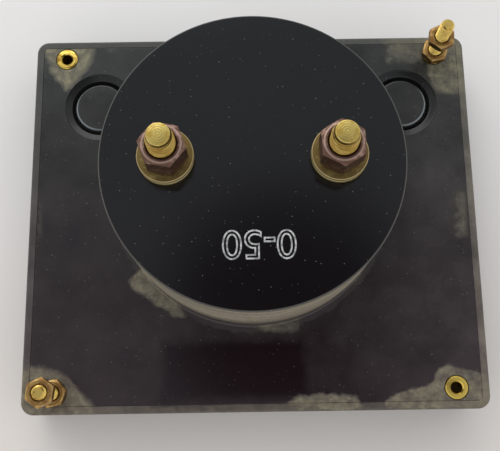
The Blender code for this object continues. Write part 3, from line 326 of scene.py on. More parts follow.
def phenolic(name, thickness, patches=(), paintedHighlightEdge=0):
    # Compression-moulded black phenolic: near-black gloss with a faint orange peel, dimmed by a
    # film of fine bench dust that lies thicker in the corners, on scuffed edges and on the walls.
    # Painted light is laid into the film and the tint: reflections, highlights on edges, and shade
    # at the barrel's foot
    material, add, shader, place = startMaterial(name, {"Roughness": 0.16, "IOR": 1.46})
    wander = add("TexNoise", {"Vector": place, "Scale": 0.45 / mm, "Detail": 4})
    moved = add("VectorMath", {0: wander.outputs["Color"], 1: (0.5, 0.5, 0.5)},
                operation="SUBTRACT")
    moved = add("VectorMath", {0: moved, 1: (film["wander"],) * 3, 2: place},
                operation="MULTIPLY_ADD")
    haze = add("TexNoise", {"Vector": place, "Scale": 0.07 / mm, "Detail": 6, "Roughness": 0.65})
    dust = add("MapRange", {"Value": haze, "From Min": 0.3, "From Max": 0.7,
                            "To Min": 0.4 * thickness, "To Max": 1.6 * thickness})
    level = add("SeparateXYZ", {0: place}).outputs["Z"]
    # the barrel's end is handled more and holds less of the film
    lessen = add("MapRange", {"Value": level, "From Min": 30 * mm, "From Max": 40 * mm,
                              "To Min": 1, "To Max": film["barrelEnd"]})
    dust = add("Math", {0: dust, 1: lessen}, operation="MULTIPLY")
    # the dial side is wiped: a trace of film there and none of the leftovers
    backSide = add("MapRange", {"Value": level, "From Min": 10 * mm, "From Max": 13 * mm})
    kept = add("MapRange", {"Value": backSide, "To Min": film["dialSide"]})
    dust = add("Math", {0: dust, 1: kept}, operation="MULTIPLY")
    below = add("MapRange", {"Value": level, "From Min": 17 * mm, "From Max": 16.5 * mm})
    onFlange = add("Math", {0: backSide, 1: below}, operation="MULTIPLY")
    crust = 0
    for share, soft, outline in patches:
        spot = region(add, moved, outline, 2.4 * soft)
        spot = add("Math", {0: spot, 1: share}, operation="MULTIPLY")
        spot = add("Math", {0: spot, 1: onFlange}, operation="MULTIPLY")
        crust = add("Math", {0: crust, 1: spot}, operation="MAXIMUM")
    if patches:
        # the flange is dustier on the dial reader's right; below the barrel its film is taken away,
        # a painted dark reflection
        across = add("SeparateXYZ", {0: place}).outputs["X"]
        more = add("MapRange", {"Value": across, "From Min": 28 * mm, "From Max": 48 * mm,
                                "To Min": 1, "To Max": film["rightSide"]})
        dust = add("Math", {0: dust, 1: more}, operation="MULTIPLY")
        darkReflection = region(add, moved, darkReflectionPatch, 2)
        darkReflection = add("Math", {0: darkReflection, 1: onFlange}, operation="MULTIPLY")
        dust = add("Mix", {0: darkReflection, 2: dust, 3: film["darkReflectionPatch"]})
        # a ring of dust lies along the barrel's foot, inside that patch too
        foot = ringRegion(add, moved, barrel["middle"], barrel["radius"] + film["footReach"],
                          0.9 * mm)
        foot = add("Math", {0: foot, 1: onFlange}, operation="MULTIPLY")
        foot = add("Math", {0: foot, 1: film["foot"]}, operation="MULTIPLY")
        dust = add("Math", {0: dust, 1: foot}, operation="MAXIMUM")
        # what is left in the corners has dried mottled
        mottle = add("TexNoise", {"Vector": place, "Scale": 0.45 / mm, "Detail": 6,
                                  "Roughness": 0.7})
        mottle = add("MapRange", {"Value": mottle, "From Min": 0.32, "From Max": 0.66,
                                  "To Min": 0.45, "To Max": 1.1})
        crust = add("Math", {0: crust, 1: mottle}, operation="MULTIPLY")
        dust = add("Math", {0: dust, 1: crust}, operation="MAXIMUM")
        # little of the film lies in the recesses, so they are darker
        for centre in plugs.values():
            clean = ringRegion(add, place, centre, film["recessRadius"], 0.15 * mm)
            clean = add("Math", {0: clean, 1: backSide}, operation="MULTIPLY")
            dust = add("Mix", {0: clean, 2: dust, 3: film["recess"]})
    # settled dust on the barrel wall: grainy, wiped round it into faint level streaks, thinner near
    # the top edge and on the side towards the dial's foot; its fading towards the barrel's foot is
    # painted shade
    up = add("SeparateXYZ", {0: add("NewGeometry").outputs["True Normal"]})
    flat = add("Math", {0: up.outputs["Z"]}, operation="ABSOLUTE")
    wall = add("MapRange", {"Value": flat, "From Min": 0.8, "From Max": 0.3})
    above = add("MapRange", {"Value": level, "From Min": flange["depth"],
                             "From Max": flange["depth"] + 0.6 * mm})
    wall = add("Math", {0: wall, 1: above}, operation="MULTIPLY")
    # real streaks are 0.5 mm tall; drawn 1.5 mm tall so that they show at this slant
    wide = add("VectorMath", {0: place, 1: (0.03, 0.03, 0.65)}, operation="MULTIPLY")
    streak = add("TexNoise", {"Vector": wide, "Scale": 1 / mm, "Detail": 4})
    worn = add("MapRange", {"Value": streak, "From Min": 0.35, "From Max": 0.58,
                            "To Min": 0.66, "To Max": 1.04})
    grains = add("VectorMath", {0: place, 1: (1.5, 1.5, 0.9)}, operation="MULTIPLY")
    grains = add("TexNoise", {"Vector": grains, "Scale": 1 / mm, "Detail": 3})
    grainy = add("MapRange", {"Value": grains, "From Min": 0.3, "From Max": 0.6,
                              "To Min": 0.8, "To Max": 1.06})
    toFoot = add("SeparateXYZ", {0: moved}).outputs["Y"]
    facing = add("MapRange", {"Value": toFoot, "From Min": -6 * mm, "From Max": 22 * mm,
                              "To Min": 1, "To Max": 0.3}, interpolation_type="SMOOTHSTEP")
    # painted shade: the wall's film fades towards the barrel's foot, darker there
    rise = add("MapRange", {"Value": level, "From Min": 17 * mm, "From Max": 28 * mm,
                            "To Min": 0.22})
    brink = add("MapRange", {"Value": level, "From Min": barrel["back"] - 0.3 * mm,
                             "From Max": barrel["back"] - 2 * mm, "To Min": 0.5})
    for part in (worn, grainy, rise, brink, facing):
        wall = add("Math", {0: wall, 1: part}, operation="MULTIPLY")
    dust = add("Math", {0: dust, 1: wall}, operation="MAXIMUM")
    # the barrel's top edge is grey: part scuffed dust, part a painted highlight on its rounding
    inside = ringRegion(add, place, barrel["middle"], barrel["radius"] - film["scuffAndHighlightReach"],
                        0.12 * mm)
    high = add("MapRange", {"Value": level, "From Min": barrel["back"] - 0.5 * mm,
                            "From Max": barrel["back"] - 0.2 * mm})
    scuffAndHighlight = add("Math", {0: high, 1: inside}, operation="SUBTRACT", use_clamp=True)
    scuffAndHighlight = add("Math", {0: scuffAndHighlight, 1: film["scuffAndHighlight"]}, operation="MULTIPLY")
    dust = add("Math", {0: dust, 1: scuffAndHighlight}, operation="MAXIMUM")
    # lint: specks about 0.2 mm across, one every 1.3 mm, most of them too faint to see
    lint = add("TexVoronoi", {"Vector": place, "Scale": 0.8 / mm})
    speck = add("MapRange", {"Value": lint.outputs["Distance"], "From Min": 0.12, "From Max": 0.04})
    pick = add("SeparateColor", {0: lint.outputs["Color"]})
    pick = add("MapRange", {"Value": pick, "From Min": 0.3, "From Max": 1.0,
                            "To Max": film["lint"]})
    speck = add("Math", {0: speck, 1: pick}, operation="MULTIPLY")
    # painted reflection: the resin and its dust are tinted blue-grey towards the dial's foot and
    # purple-brown towards its top, most of all on the flange
    across = add("SeparateXYZ", {0: moved}).outputs["Y"]
    across = add("MapRange", {"Value": across, "From Min": 42 * mm, "From Max": -40 * mm})
    tintWeight = add("MapRange", {"Value": onFlange, "To Min": 0.3})
    across = add("Math", {0: across, 1: tintWeight}, operation="MULTIPLY")
    body = add("Mix", {0: across, 6: "#090c0d", 7: "#180b10"}, data_type="RGBA")
    grey = add("Mix", {0: across, 6: "#65665f", 7: "#6a5d5d"}, data_type="RGBA")
    grey = add("Mix", {0: crust, 6: grey, 7: "#948d72"}, data_type="RGBA")
    # the wall's dust is painted paler than the film on the flat faces, part dust and part painted
    # light on the wall, and browner at the foot
    wallDustAndLight = add("Mix", {0: rise, 6: "#927b69", 7: "#978e7b"}, data_type="RGBA")
    grey = add("Mix", {0: wall, 6: grey, 7: wallDustAndLight}, data_type="RGBA")
    colour = add("Mix", {0: dust, 6: body, 7: grey}, data_type="RGBA")
    colour = add("Mix", {0: speck, 6: colour, 7: "#b9b7b0"}, data_type="RGBA")
    gloss = add("MapRange", {"Value": dust, "From Max": 0.6, "To Min": 0.12, "To Max": 0.7})
    peel = add("TexNoise", {"Vector": place, "Scale": 1.2 / mm, "Detail": 2})
    height = add("Math", {0: dust, 1: 3, 2: peel}, operation="MULTIPLY_ADD")
    bump = add("Bump", {"Height": height, "Strength": 0.25, "Distance": 0.01 * mm})
    if paintedHighlightEdge:
        # painted highlight: a pale arc on the crowns' rounded edges, on the side towards the
        # corners of the case
        side = add("VectorMath", {0: place}, operation="ABSOLUTE")
        side = add("VectorMath", {0: side, 1: (*plugs["right"], 0)}, operation="SUBTRACT")
        rim = ringRegion(add, side, (0, 0), paintedHighlightEdge, 0.05 * mm)
        rim = add("Math", {0: 1, 1: rim}, operation="SUBTRACT")
        outer = add("VectorMath", {0: side, 1: (0.8, -0.6, 0)}, operation="DOT_PRODUCT").outputs[1]
        outer = add("MapRange", {"Value": outer, "From Min": 0, "From Max": paintedHighlightEdge},
                    interpolation_type="SMOOTHSTEP")
        high = add("MapRange", {"Value": level, "From Min": 15.2 * mm, "From Max": 15.4 * mm})
        rim = add("Math", {0: rim, 1: outer}, operation="MULTIPLY")
        rim = add("Math", {0: rim, 1: high}, operation="MULTIPLY")
        colour = add("Mix", {0: rim, 6: colour, 7: "#7d8588"}, data_type="RGBA")
    feed(shader, {"Base Color": colour, "Roughness": gloss, "Normal": bump})
    return material


casePhenolic = phenolic("moulded black phenolic", 0.11, leftovers)
# the rim's strips along its edge at the top of the dial and on its right are pale: part dust, part
# painted highlight
coverPhenolic = phenolic("black phenolic rim", 0.42, leftovers[1:7] + [
    (0.5, 0.3, [(-59.5, -48.6), (59.5, -48.6), (59.5, -51.5), (-59.5, -51.5)]),
    (0.34, 0.3, [(57.3, -51), (59.5, -51), (59.5, 51), (57.3, 51)])])
plugPhenolic = phenolic("polished black phenolic", 0.12, paintedHighlightEdge=6.2 * mm)

# base and barrel; a recess steps down to the hole of its plug, and that to the base screw's
base = {"front": 13 * mm, "gap": 0.03 * mm, "corner": 1 * mm, "edge": 0.2 * mm, "root": 0.4 * mm,
        "insertHole": 3.05 * mm, "insertMouth": 3.35 * mm, "mouthDepth": 0.15 * mm,
        "terminalHole": 3.475 * mm}
recess = {"boss": 10.4 * mm, "radius": 9.5 * mm, "depth": 0.35 * mm, "drop": 0.25 * mm,
          "edge": 0.2 * mm, "hole": 7.8 * mm, "holeFoot": 7.3 * mm, "holeDepth": 2 * mm,
          "screwHead": 3.3 * mm, "headFoot": 12.4 * mm, "screw": 1.8 * mm, "through": 9 * mm}


def makeRearCase():
    back, middle = flange["depth"], barrel["middle"]
    inset = 2 * (flange["rim"] + base["gap"])
    plate = slab(flange["width"] - inset, flange["height"] - inset, base["front"], back,
                 base["corner"], 6)
    roundRim(plate, back, base["edge"])
    case = looseObject("rear_case_moulding", plate)
    radius, top = barrel["radius"], barrel["back"]
    wall = spun([(0, back - mm), (radius + base["root"], back - mm), (radius + base["root"], back),
                 (radius, back + base["root"]), (radius, top), (0, top)], 192, middle)
    roundRings(wall, [(radius, top, barrel["edge"])], middle, 4)
    bosses = [drum(recess["boss"], base["front"] - 2 * mm, back - mm, 48, p)
              for p in plugs.values()]
    carve(case, [wall] + bosses, "UNION")
    holes = [drum(barrel["inside"], base["front"] - 4 * mm, barrel["floor"], 96, middle)]
    hole, mouth, through = base["insertHole"], base["mouthDepth"], recess["through"]
    for place in studs.values():
        holes.append(spun([(0, through), (hole, through), (hole, back - mouth),
                           (base["insertMouth"], back + mouth), (0, back + mouth)], 48, place))
    depth, step = back - recess["holeDepth"], back - recess["depth"]
    screw, head, foot = recess["screw"], recess["screwHead"], recess["headFoot"]
    rim, radius, low = recess["hole"], recess["radius"], step - recess["drop"]
    for place in plugs.values():
        sink = spun([(0, through), (screw, through), (screw, foot), (head, foot), (head, depth),
                     (recess["holeFoot"], depth), (rim, low), (radius, step),
                     (radius, back + mm), (0, back + mm)], 72, place)
        holes.append(roundRings(sink, [(rim, low, recess["edge"]), (radius, step, recess["edge"])],
                                place, 3))
    for place in terminals.values():
        holes.append(drum(base["terminalHole"], 40 * mm, 48 * mm, 48, place))
    carve(case, holes)
    finishPiece(case, casePhenolic, "rear_case")


makeRearCase()
print("rear case made")


cover = {"draft": 1 * mm, "frontEdge": 1.7 * mm, "backEdge": 0.8 * mm, "inCorner": 1 * mm,
         "ledgeCorner": 1.3 * mm, "bossFoot": 1.5 * mm, "studBoss": 4.6 * mm,
         "studHole": (3.2 * mm, 6.35 * mm), "screwBoss": 5 * mm, "screwHole": (1.8 * mm, 5.2 * mm)}
# the window: a rectangle under a flat arch, less a round hood over the movement, flared outwards
opening = {"width": 100 * mm, "height": 51 * mm, "middle": -16.5 * mm, "corner": 4 * mm,
           "archHeight": 80 * mm, "archMiddle": -2 * mm, "archCorner": 12 * mm,
           "hood": 15 * mm, "hoodMiddle": 14 * mm, "front": 1.2 * mm, "back": 4 * mm,
           "flare": 2.2 * mm}
zeroHole = {"place": (0, 26.5 * mm), "head": 4.3 * mm, "seat": 1.8 * mm, "bore": 2.3 * mm}


def makeFrontCover():
    width, height, back = flange["width"], flange["height"], flange["depth"]
    shell = slab(width, height, 0, back, flange["corner"], 10)
    for vert in shell.verts:
        if vert.co.z < mm:
            vert.co.x *= 1 - cover["draft"] / width
            vert.co.y *= 1 - cover["draft"] / height
    roundRim(shell, 0, cover["frontEdge"], 6)
    roundRim(shell, back, cover["backEdge"], 5)
    moulding = looseObject("front_cover_moulding", shell)
    wall, rim = 2 * flange["side"], 2 * flange["rim"]
    ledge = base["front"] - base["gap"]
    pockets = [slab(width - wall, height - wall, flange["front"], back - mm, cover["inCorner"], 4),
               slab(width - rim, height - rim, ledge, back + mm, cover["ledgeCorner"], 6)]
    carve(moulding, pockets)
    foot = cover["bossFoot"]
    carve(moulding, [drum(cover["studBoss"], foot, ledge, 32, p) for p in studs.values()]
          + [drum(cover["screwBoss"], foot, ledge - 2 * mm, 32, p) for p in plugs.values()],
          "UNION")
    wide, front = opening["width"], opening["front"]
    window = looseObject("window tool", slab(wide, opening["height"], front, opening["back"],
                                             opening["corner"], 6, (0, opening["middle"])))
    arch = slab(wide, opening["archHeight"], 0, 5 * mm, opening["archCorner"], 10,
                (0, opening["archMiddle"]))
    carve(window, [arch], "INTERSECT")
    carve(window, [drum(opening["hood"], 0, 5 * mm, 96, (0, opening["hoodMiddle"]))])
    flare = bmesh.new()
    flare.from_mesh(window.data)
    bpy.data.objects.remove(window)
    face = [f for f in flare.faces if all(v.co.z < front + close for v in f.verts)]
    bmesh.ops.extrude_face_region(flare, geom=face)
    bmesh.ops.delete(flare, geom=face, context="FACES")
    low = [f for f in flare.faces if abs(f.normal.z) > 0.9
           and all(v.co.z < front + close for v in f.verts)]
    verts = {v for f in low for v in f.verts}
    bmesh.ops.delete(flare, geom=low, context="FACES_ONLY")
    flare.normal_update()
    spread = {v: v.normal * v.calc_shell_factor() for v in verts}
    for vert in verts:
        vert.co += Vector((spread[vert].x, spread[vert].y, 0)) * opening["flare"]
        vert.co.z = -mm
    bmesh.ops.holes_fill(flare, edges=[e for e in flare.edges if e.is_boundary], sides=0)
    bmesh.ops.recalc_face_normals(flare, faces=flare.faces[:])
    tools = [flare]
    for places, (radius, floor), steps in ((studs, cover["studHole"], 40),
                                           (plugs, cover["screwHole"], 20)):
        tools += [drum(radius, floor, back + mm, steps, p) for p in places.values()]
    head, seat, bore = zeroHole["head"], zeroHole["seat"], zeroHole["bore"]
    tools.append(spun([(0, -mm), (head, -mm), (head, seat), (bore, seat), (bore, 4 * mm),
                       (0, 4 * mm)], 48, zeroHole["place"]))
    carve(moulding, tools)
    finishPiece(moulding, coverPhenolic, "front_cover")


makeFrontCover()
print("front cover made")

seal = {"radius": 7.25 * mm, "shoulder": 7.05 * mm, "crown": 6.45 * mm, "foot": 14.3 * mm,
        "slope": 14.5 * mm, "top": 15.65 * mm, "edge": 0.3 * mm}
for name, place in plugs.items():
    disc = spun([(0, seal["foot"]), (seal["radius"], seal["foot"]),
                 (seal["shoulder"], seal["slope"]), (seal["crown"], seal["top"]),
                 (0, seal["top"])], 96, place)
    roundRings(disc, [(seal["crown"], seal["top"], seal["edge"])], place, 4)
    finishPiece(looseObject("seal_plug_disc_" + name, disc), plugPhenolic,
                "seal_plug_" + name)
print("seal plugs made")


# brass hardware

def turnedBrass(name, look, centre=(0, 0), paintedLightBand=None):
    # Free-cutting brass turned on an automatic: fine rings from the tool on every face, and cloudy
    # brown tarnish where hands and damp have been; a band at one radius carries painted light, a
    # highlight or a reflection as the caller gives. A look is the fresh and the tarnished colour,
    # the tarnished share, the roughness and how deep the rings are; the painted band is a radius,
    # half a width and a colour
    fresh, worn, share, roughness, rings = look
    material, add, shader, place = startMaterial(name, {"Metallic": 1, "Roughness": roughness},
                                                 (*centre, 0))
    cloud = add("TexNoise", {"Vector": place, "Scale": 0.45 / mm, "Detail": 6, "Roughness": 0.65})
    tintWeight = add("MapRange", {"Value": cloud, "From Min": 0.7 - share / 2,
                            "From Max": 0.85 - share / 2})
    colour = add("Mix", {0: tintWeight, 6: fresh, 7: worn}, data_type="RGBA")
    gloss = add("MapRange", {"Value": tintWeight, "To Min": roughness, "To Max": roughness + 0.18})
    # real rings lie 0.1 mm apart; drawn every 0.55 mm so that they show
    flat = add("VectorMath", {0: place, 1: (1, 1, 0)}, operation="MULTIPLY")
    away = add("VectorMath", {0: flat}, operation="LENGTH").outputs["Value"]
    if paintedLightBand:
        radius, width, bright = paintedLightBand
        # painted light: a band at one radius takes the given colour
        band = add("Math", {0: away, 1: radius, 2: width}, operation="COMPARE")
        band = add("Math", {0: band, 1: 0.6}, operation="MULTIPLY")
        colour = add("Mix", {0: band, 6: colour, 7: bright}, data_type="RGBA")
    wave = add("Math", {0: away, 1: math.tau / (0.55 * mm)}, operation="MULTIPLY")
    ring = add("Math", {0: wave}, operation="SINE")
    height = add("Math", {0: ring, 1: 0.5, 2: cloud}, operation="MULTIPLY_ADD")
    bump = add("Bump", {"Height": height, "Strength": rings, "Distance": 0.03 * mm})
    feed(shader, {"Base Color": colour, "Roughness": gloss, "Normal": bump})
    return material


insert = {"radius": 2.9 * mm, "bore": 1.45 * mm, "foot": 6.65 * mm, "top": 16.15 * mm,
          "sink": 0.3 * mm, "edge": 0.35 * mm, "clean": ("#e4c562", "#b8933c", 0.2, 0.24, 0.3),
          "dirty": ("#e4c562", "#8f6f30", 0.5, 0.24, 0.6)}
for name, place in studs.items():
    ring = spun([(insert["bore"], insert["foot"]), (insert["radius"], insert["foot"]),
                 (insert["radius"], insert["top"]),
                 (insert["bore"] + insert["sink"], insert["top"]),
                 (insert["bore"], insert["top"] - insert["sink"])], 64, place, closed=True)
    roundRings(ring, [(insert["radius"], insert["top"], insert["edge"])], place)
    brass = turnedBrass("turned brass insert " + name,
                        insert["dirty" if name == "bottom_left" else "clean"], place)
    finishPiece(looseObject("corner_insert_ring_" + name, ring), brass,
                "corner_insert_" + name, sharp=25)
print("inserts made")

mountStud = {"radius": 1.75 * mm, "pitch": 0.794 * mm, "seat": 16.45 * mm,
             "taper": (0.55 * mm, 0.7 * mm), "root": 1.15 * mm, "foot": 10.45 * mm,
             "brass": ("#dabb66", "#a68440", 0.4, 0.25, 0.15),
             "tips": {"top_left": 31.5 * mm, "bottom_right": 33.6 * mm}}
mountNut = {"flats": 6.35 * mm, "bore": 1.9 * mm, "height": 2.4 * mm, "faceRadius": 2.9 * mm,
            "baseFoot": 16.75 * mm, "endFoot": {"top_left": 28.3 * mm, "bottom_right": 24.6 * mm},
            "turn": {"base": 12, "end": 24}, "brass": ("#b2925a", "#87653c", 0.6, 0.34, 0.3)}
for name, tip in mountStud["tips"].items():
    place = studs[name]
    rod = threadedRod(mountStud["radius"], mountStud["pitch"], mountStud["seat"], tip,
                      mountStud["taper"], 28, place)
    stud = looseObject("mounting_stud_thread_" + name, rod)
    carve(stud, [drum(mountStud["root"], mountStud["foot"], 17 * mm, 24, place)], "UNION")
    brass = turnedBrass("bright stud brass " + name, mountStud["brass"], place)
    finishPiece(stud, brass, "mounting_stud_" + name, sharp=25)
    dull = turnedBrass("dull nut brass " + name, mountNut["brass"], place)
    for which, foot in (("base", mountNut["baseFoot"]), ("end", mountNut["endFoot"][name])):
        nut = hexNut(f"mount_{which}_nut_hexagon_{name}", mountNut["flats"], mountNut["bore"],
                     foot, foot + mountNut["height"], mountNut["faceRadius"],
                     mountNut["turn"][which], place)
        finishPiece(nut, dull, f"mount_{which}_nut_{name}", sharp=20)
print("mounting hardware made")

terminal = {"radius": 3.175 * mm, "pitch": 0.907 * mm, "foot": 40.5 * mm, "tip": 63.2 * mm,
            "taper": (0.6 * mm, 2.6 * mm), "edge": 0.22 * mm, "centreMark": 0.28 * mm,
            "headFlats": 10 * mm, "head": (38.2 * mm, 41.6 * mm),
            "turn": {"left": -10, "right": -28}, "brass": ("#dac270", "#b2954a", 0.5, 0.27, 0.3)}
terminalNut = {"flats": 9.53 * mm, "bore": 3.3 * mm, "foot": 49.7 * mm, "top": 57.1 * mm,
               "faceRadius": 4.2 * mm, "brass": ("#9f8274", "#6a5145", 0.7, 0.36, 0.4)}
washer = {"radius": 6.5 * mm, "bore": 3.475 * mm, "thick": 1.15 * mm, "underEdge": 0.25 * mm,
          "edge": 0.3 * mm, "feet": {"inner": 46.8 * mm, "outer": 48.25 * mm},
          "brass": ("#a39159", "#75623c", 0.75, 0.34, 0.2)}
for name, place in terminals.items():
    tip, dent = terminal["tip"], terminal["centreMark"]
    rod = threadedRod(terminal["radius"], terminal["pitch"], terminal["foot"], tip - 0.1 * mm,
                      terminal["taper"], 48, place)
    stud = looseObject("terminal_stud_thread_" + name, rod)
    # the faced end keeps the mark of the lathe's centre
    face = terminal["radius"] - terminal["taper"][0]
    end = spun([(0, tip - 2 * mm), (face, tip - 2 * mm), (face, tip), (dent, tip),
                (0, tip - dent)], 64, place)
    roundRings(end, [(face, tip, terminal["edge"])], place, 4)
    head = drum(terminal["headFlats"] / math.sqrt(3), *terminal["head"], 6)
    bmesh.ops.rotate(head, verts=head.verts[:], cent=(0, 0, 0),
                     matrix=Matrix.Rotation(math.radians(terminal["turn"][name]), 3, "Z"))
    carve(stud, [end, shifted(head, *place, 0)], "UNION")
    # painted reflection: a brown band over the stud's threaded side
    bright = turnedBrass("terminal stud brass " + name, terminal["brass"], place,
                         (face + 0.45 * mm, 0.4 * mm, "#84622e"))
    finishPiece(stud, bright, "terminal_stud_" + name, sharp=25)
    # painted highlight: a pale band round the washers' rim
    olive = turnedBrass("olive washer brass " + name, washer["brass"], place,
                        (washer["radius"], 0.2 * mm, "#d6c694"))
    for which, foot in washer["feet"].items():
        top = foot + washer["thick"]
        ring = spun([(washer["bore"], foot), (washer["radius"], foot), (washer["radius"], top),
                     (washer["bore"], top)], 96, place, closed=True)
        roundRings(ring, [(washer["radius"], foot, washer["underEdge"]),
                          (washer["radius"], top, washer["edge"])], place, 4)
        finishPiece(looseObject(f"terminal_{which}_washer_disc_{name}", ring), olive,
                    f"terminal_{which}_washer_{name}", sharp=25)
    # painted highlight: a pale ring at the edge of the nut's face
    dark = turnedBrass("tarnished nut brass " + name, terminalNut["brass"], place,
                       (terminalNut["faceRadius"] + 0.05 * mm, 0.22 * mm, "#b79d90"))
    nut = hexNut("terminal_nut_hexagon_" + name, terminalNut["flats"], terminalNut["bore"],
                 terminalNut["foot"], terminalNut["top"], terminalNut["faceRadius"],
                 terminal["turn"][name], place)
    finishPiece(nut, dark, "terminal_nut_" + name, sharp=20)
print("terminals made")


# white figures stamped on the back of the barrel, outlined as by a worn hand stamp

stampedMark = {"text": "0-50", "size": 9.2 * mm, "line": 0.2 * mm, "middle": (1.2 * mm, -13.6 * mm)}


def inkWhite(name):
    # White stamping ink: thin and chalky, broken where the stamp did not press
    material, add, shader, place = startMaterial(name, {"Roughness": 0.7})
    breaks = add("TexNoise", {"Vector": place, "Scale": 0.9 / mm, "Detail": 3})
    thin = add("MapRange", {"Value": breaks, "From Min": 0.42, "From Max": 0.62})
    colour = add("Mix", {0: thin, 6: "#cbccca", 7: "#828484"}, data_type="RGBA")
    bump = add("Bump", {"Height": breaks, "Strength": 0.4, "Distance": 0.02 * mm})
    feed(shader, {"Base Color": colour, "Normal": bump})
    return material


def lettering(name, text, size, place, turn, line=0):
    # text made a mesh, then turned about place; with a line it is only the outline of the figures
    curve = bpy.data.curves.new(name, "FONT")
    curve.body, curve.size, curve.align_x, curve.align_y = text, size, "CENTER", "CENTER"
    curve.resolution_u = 6
    if line:
        curve.fill_mode, curve.bevel_depth, curve.bevel_resolution = "NONE", line, 1
    else:
        curve.extrude = 0.01 * mm
    draft = newObject(name, curve)
    mesh = finalMesh(draft)
    bpy.data.objects.remove(draft)
    if line:
        mesh.transform(Matrix.Diagonal((1, 1, 0.2, 1)))
    mesh.transform(Matrix.Translation(place) @ turn)
    made = bmesh.new()
    made.from_mesh(mesh)
    bmesh.ops.remove_doubles(made, verts=made.verts[:], dist=weld)
    return made


mark = lettering("stamp", stampedMark["text"], stampedMark["size"],
                 (*stampedMark["middle"], barrel["back"] + 0.02 * mm),
                 Matrix.Rotation(math.pi, 4, "Z"), stampedMark["line"])
mark = looseObject("stamped_figures", mark)
mark.data.materials.append(inkWhite("white stamping ink"))
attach(mark, "meter")
print("figures stamped")


# dial print: a plain scale from 0 to 50 with a mark for amperes

scale = {"pivot": (0, 14 * mm), "face": 9.95 * mm, "thick": 0.02 * mm, "arc": 43.9 * mm,
         "line": 0.35 * mm, "from": 225, "sweep": 90, "last": 50, "figures": 51.2 * mm,
         "figureSize": 4.6 * mm, "unit": "A", "unitSize": 8 * mm, "unitPlace": -32 * mm,
         "ticks": {10: (5.2 * mm, 0.75 * mm), 5: (3.8 * mm, 0.5 * mm), 1: (2.4 * mm, 0.28 * mm)}}


def joinShape(target, shape, turn=None):
    # adds a bmesh to another
    if turn:
        bmesh.ops.transform(shape, matrix=turn, verts=shape.verts[:])
    mesh = bpy.data.meshes.new("joined")
    shape.to_mesh(mesh)
    shape.free()
    target.from_mesh(mesh)
    bpy.data.meshes.remove(mesh)


def makeDialPrint():
    low, high = scale["face"] - scale["thick"], scale["face"] - 0.2 * scale["thick"]
    figureFoot, upright = low + 0.01 * mm, Matrix.Rotation(math.pi, 4, "X")
    printed = bmesh.new()
    # the arc is the section of its line spun through the sweep
    start, sweep = math.radians(scale["from"]), math.radians(scale["sweep"])
    inner, outer = scale["arc"], scale["arc"] + scale["line"]
    corners = [printed.verts.new((r * math.cos(start), r * math.sin(start), z))
               for r, z in ((inner, low), (outer, low), (outer, high), (inner, high))]
    face = printed.faces.new(corners)
    bmesh.ops.spin(printed, geom=[face], cent=(0, 0, 0), axis=(0, 0, 1), angle=sweep, steps=60,
                   use_merge=False)
    for step in range(scale["last"] + 1):
        every = 10 if step % 10 == 0 else 5 if step % 5 == 0 else 1
        length, width = scale["ticks"][every]
        tick = slab(length, width, low, high, place=(scale["arc"] + length / 2, 0))
        angle = start + sweep * step / scale["last"]
        joinShape(printed, tick, Matrix.Rotation(angle, 4, "Z"))
        if every == 10:
            place = (scale["figures"] * math.cos(angle), scale["figures"] * math.sin(angle),
                     figureFoot)
            joinShape(printed, lettering("figure", str(step), scale["figureSize"], place, upright))
    joinShape(printed, lettering("figure", scale["unit"], scale["unitSize"],
                                 (0, scale["unitPlace"], figureFoot), upright))
    bmesh.ops.recalc_face_normals(printed, faces=printed.faces[:])
    made = looseObject("dial_print", shifted(printed, *scale["pivot"], 0))
    # Black printing ink, satin and thin
    material, add, shader, place = startMaterial("black dial ink", {"Roughness": 0.45})
    tone = add("TexNoise", {"Vector": place, "Scale": 1.5 / mm, "Detail": 2})
    colour = add("Mix", {0: tone, 6: "#141414", 7: "#262524"}, data_type="RGBA")
    feed(shader, {"Base Color": colour})
    made.data.materials.append(material)
    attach(made, "meter")


makeDialPrint()
print("dial printed")


# inner pieces keep their CAD shape

def worked(name, light, dark, roughness, grain, bumpHeight, metallic=1.0):
    # cloudy tone and a fine grain; grain and bump height in mm
    material, add, shader, place = startMaterial(name, {"Metallic": metallic,
                                                        "Roughness": roughness})
    cloud = add("TexNoise", {"Vector": place, "Scale": 0.5 / grain / mm, "Detail": 5})
    colour = add("Mix", {0: cloud, 6: light, 7: dark}, data_type="RGBA")
    gloss = add("MapRange", {"Value": cloud, "To Min": roughness * 0.8,
                             "To Max": min(1, roughness * 1.3)})
    bump = add("Bump", {"Height": cloud, "Strength": 0.5, "Distance": bumpHeight * mm})
    feed(shader, {"Base Color": colour, "Roughness": gloss, "Normal": bump})
    return material


def windowGlass():
    # Drawn sheet glass, 2 mm: clear, with a trace of dust film that only shows as a softer glint
    material, add, shader, place = startMaterial("drawn window glass", {
        "IOR": 1.5, "Transmission Weight": 1, "Base Color": "#fbfdfc"})
    film = add("TexNoise", {"Vector": place, "Scale": 0.08 / mm, "Detail": 4})
    gloss = add("MapRange", {"Value": film, "From Min": 0.4, "From Max": 0.8,
                             "To Min": 0.0, "To Max": 0.05})
    feed(shader, {"Roughness": gloss})
    return material


def windingWire():
    # Enamelled copper wire laid turn on turn; real turns are 0.05 mm, drawn every 0.4 mm to show
    material, add, shader, place = startMaterial("enamelled copper wire",
                                                 {"Metallic": 1, "Roughness": 0.3})
    level = add("SeparateXYZ", {0: place}).outputs["Z"]
    wave = add("Math", {0: level, 1: math.tau / (0.4 * mm)}, operation="MULTIPLY")
    turns = add("Math", {0: wave}, operation="SINE")
    tone = add("MapRange", {"Value": turns, "From Min": -1})
    colour = add("Mix", {0: tone, 6: "#6d3018", 7: "#b3653a"}, data_type="RGBA")
    bump = add("Bump", {"Height": tone, "Strength": 0.6, "Distance": 0.1 * mm})
    feed(shader, {"Base Color": colour, "Normal": bump})
    return material


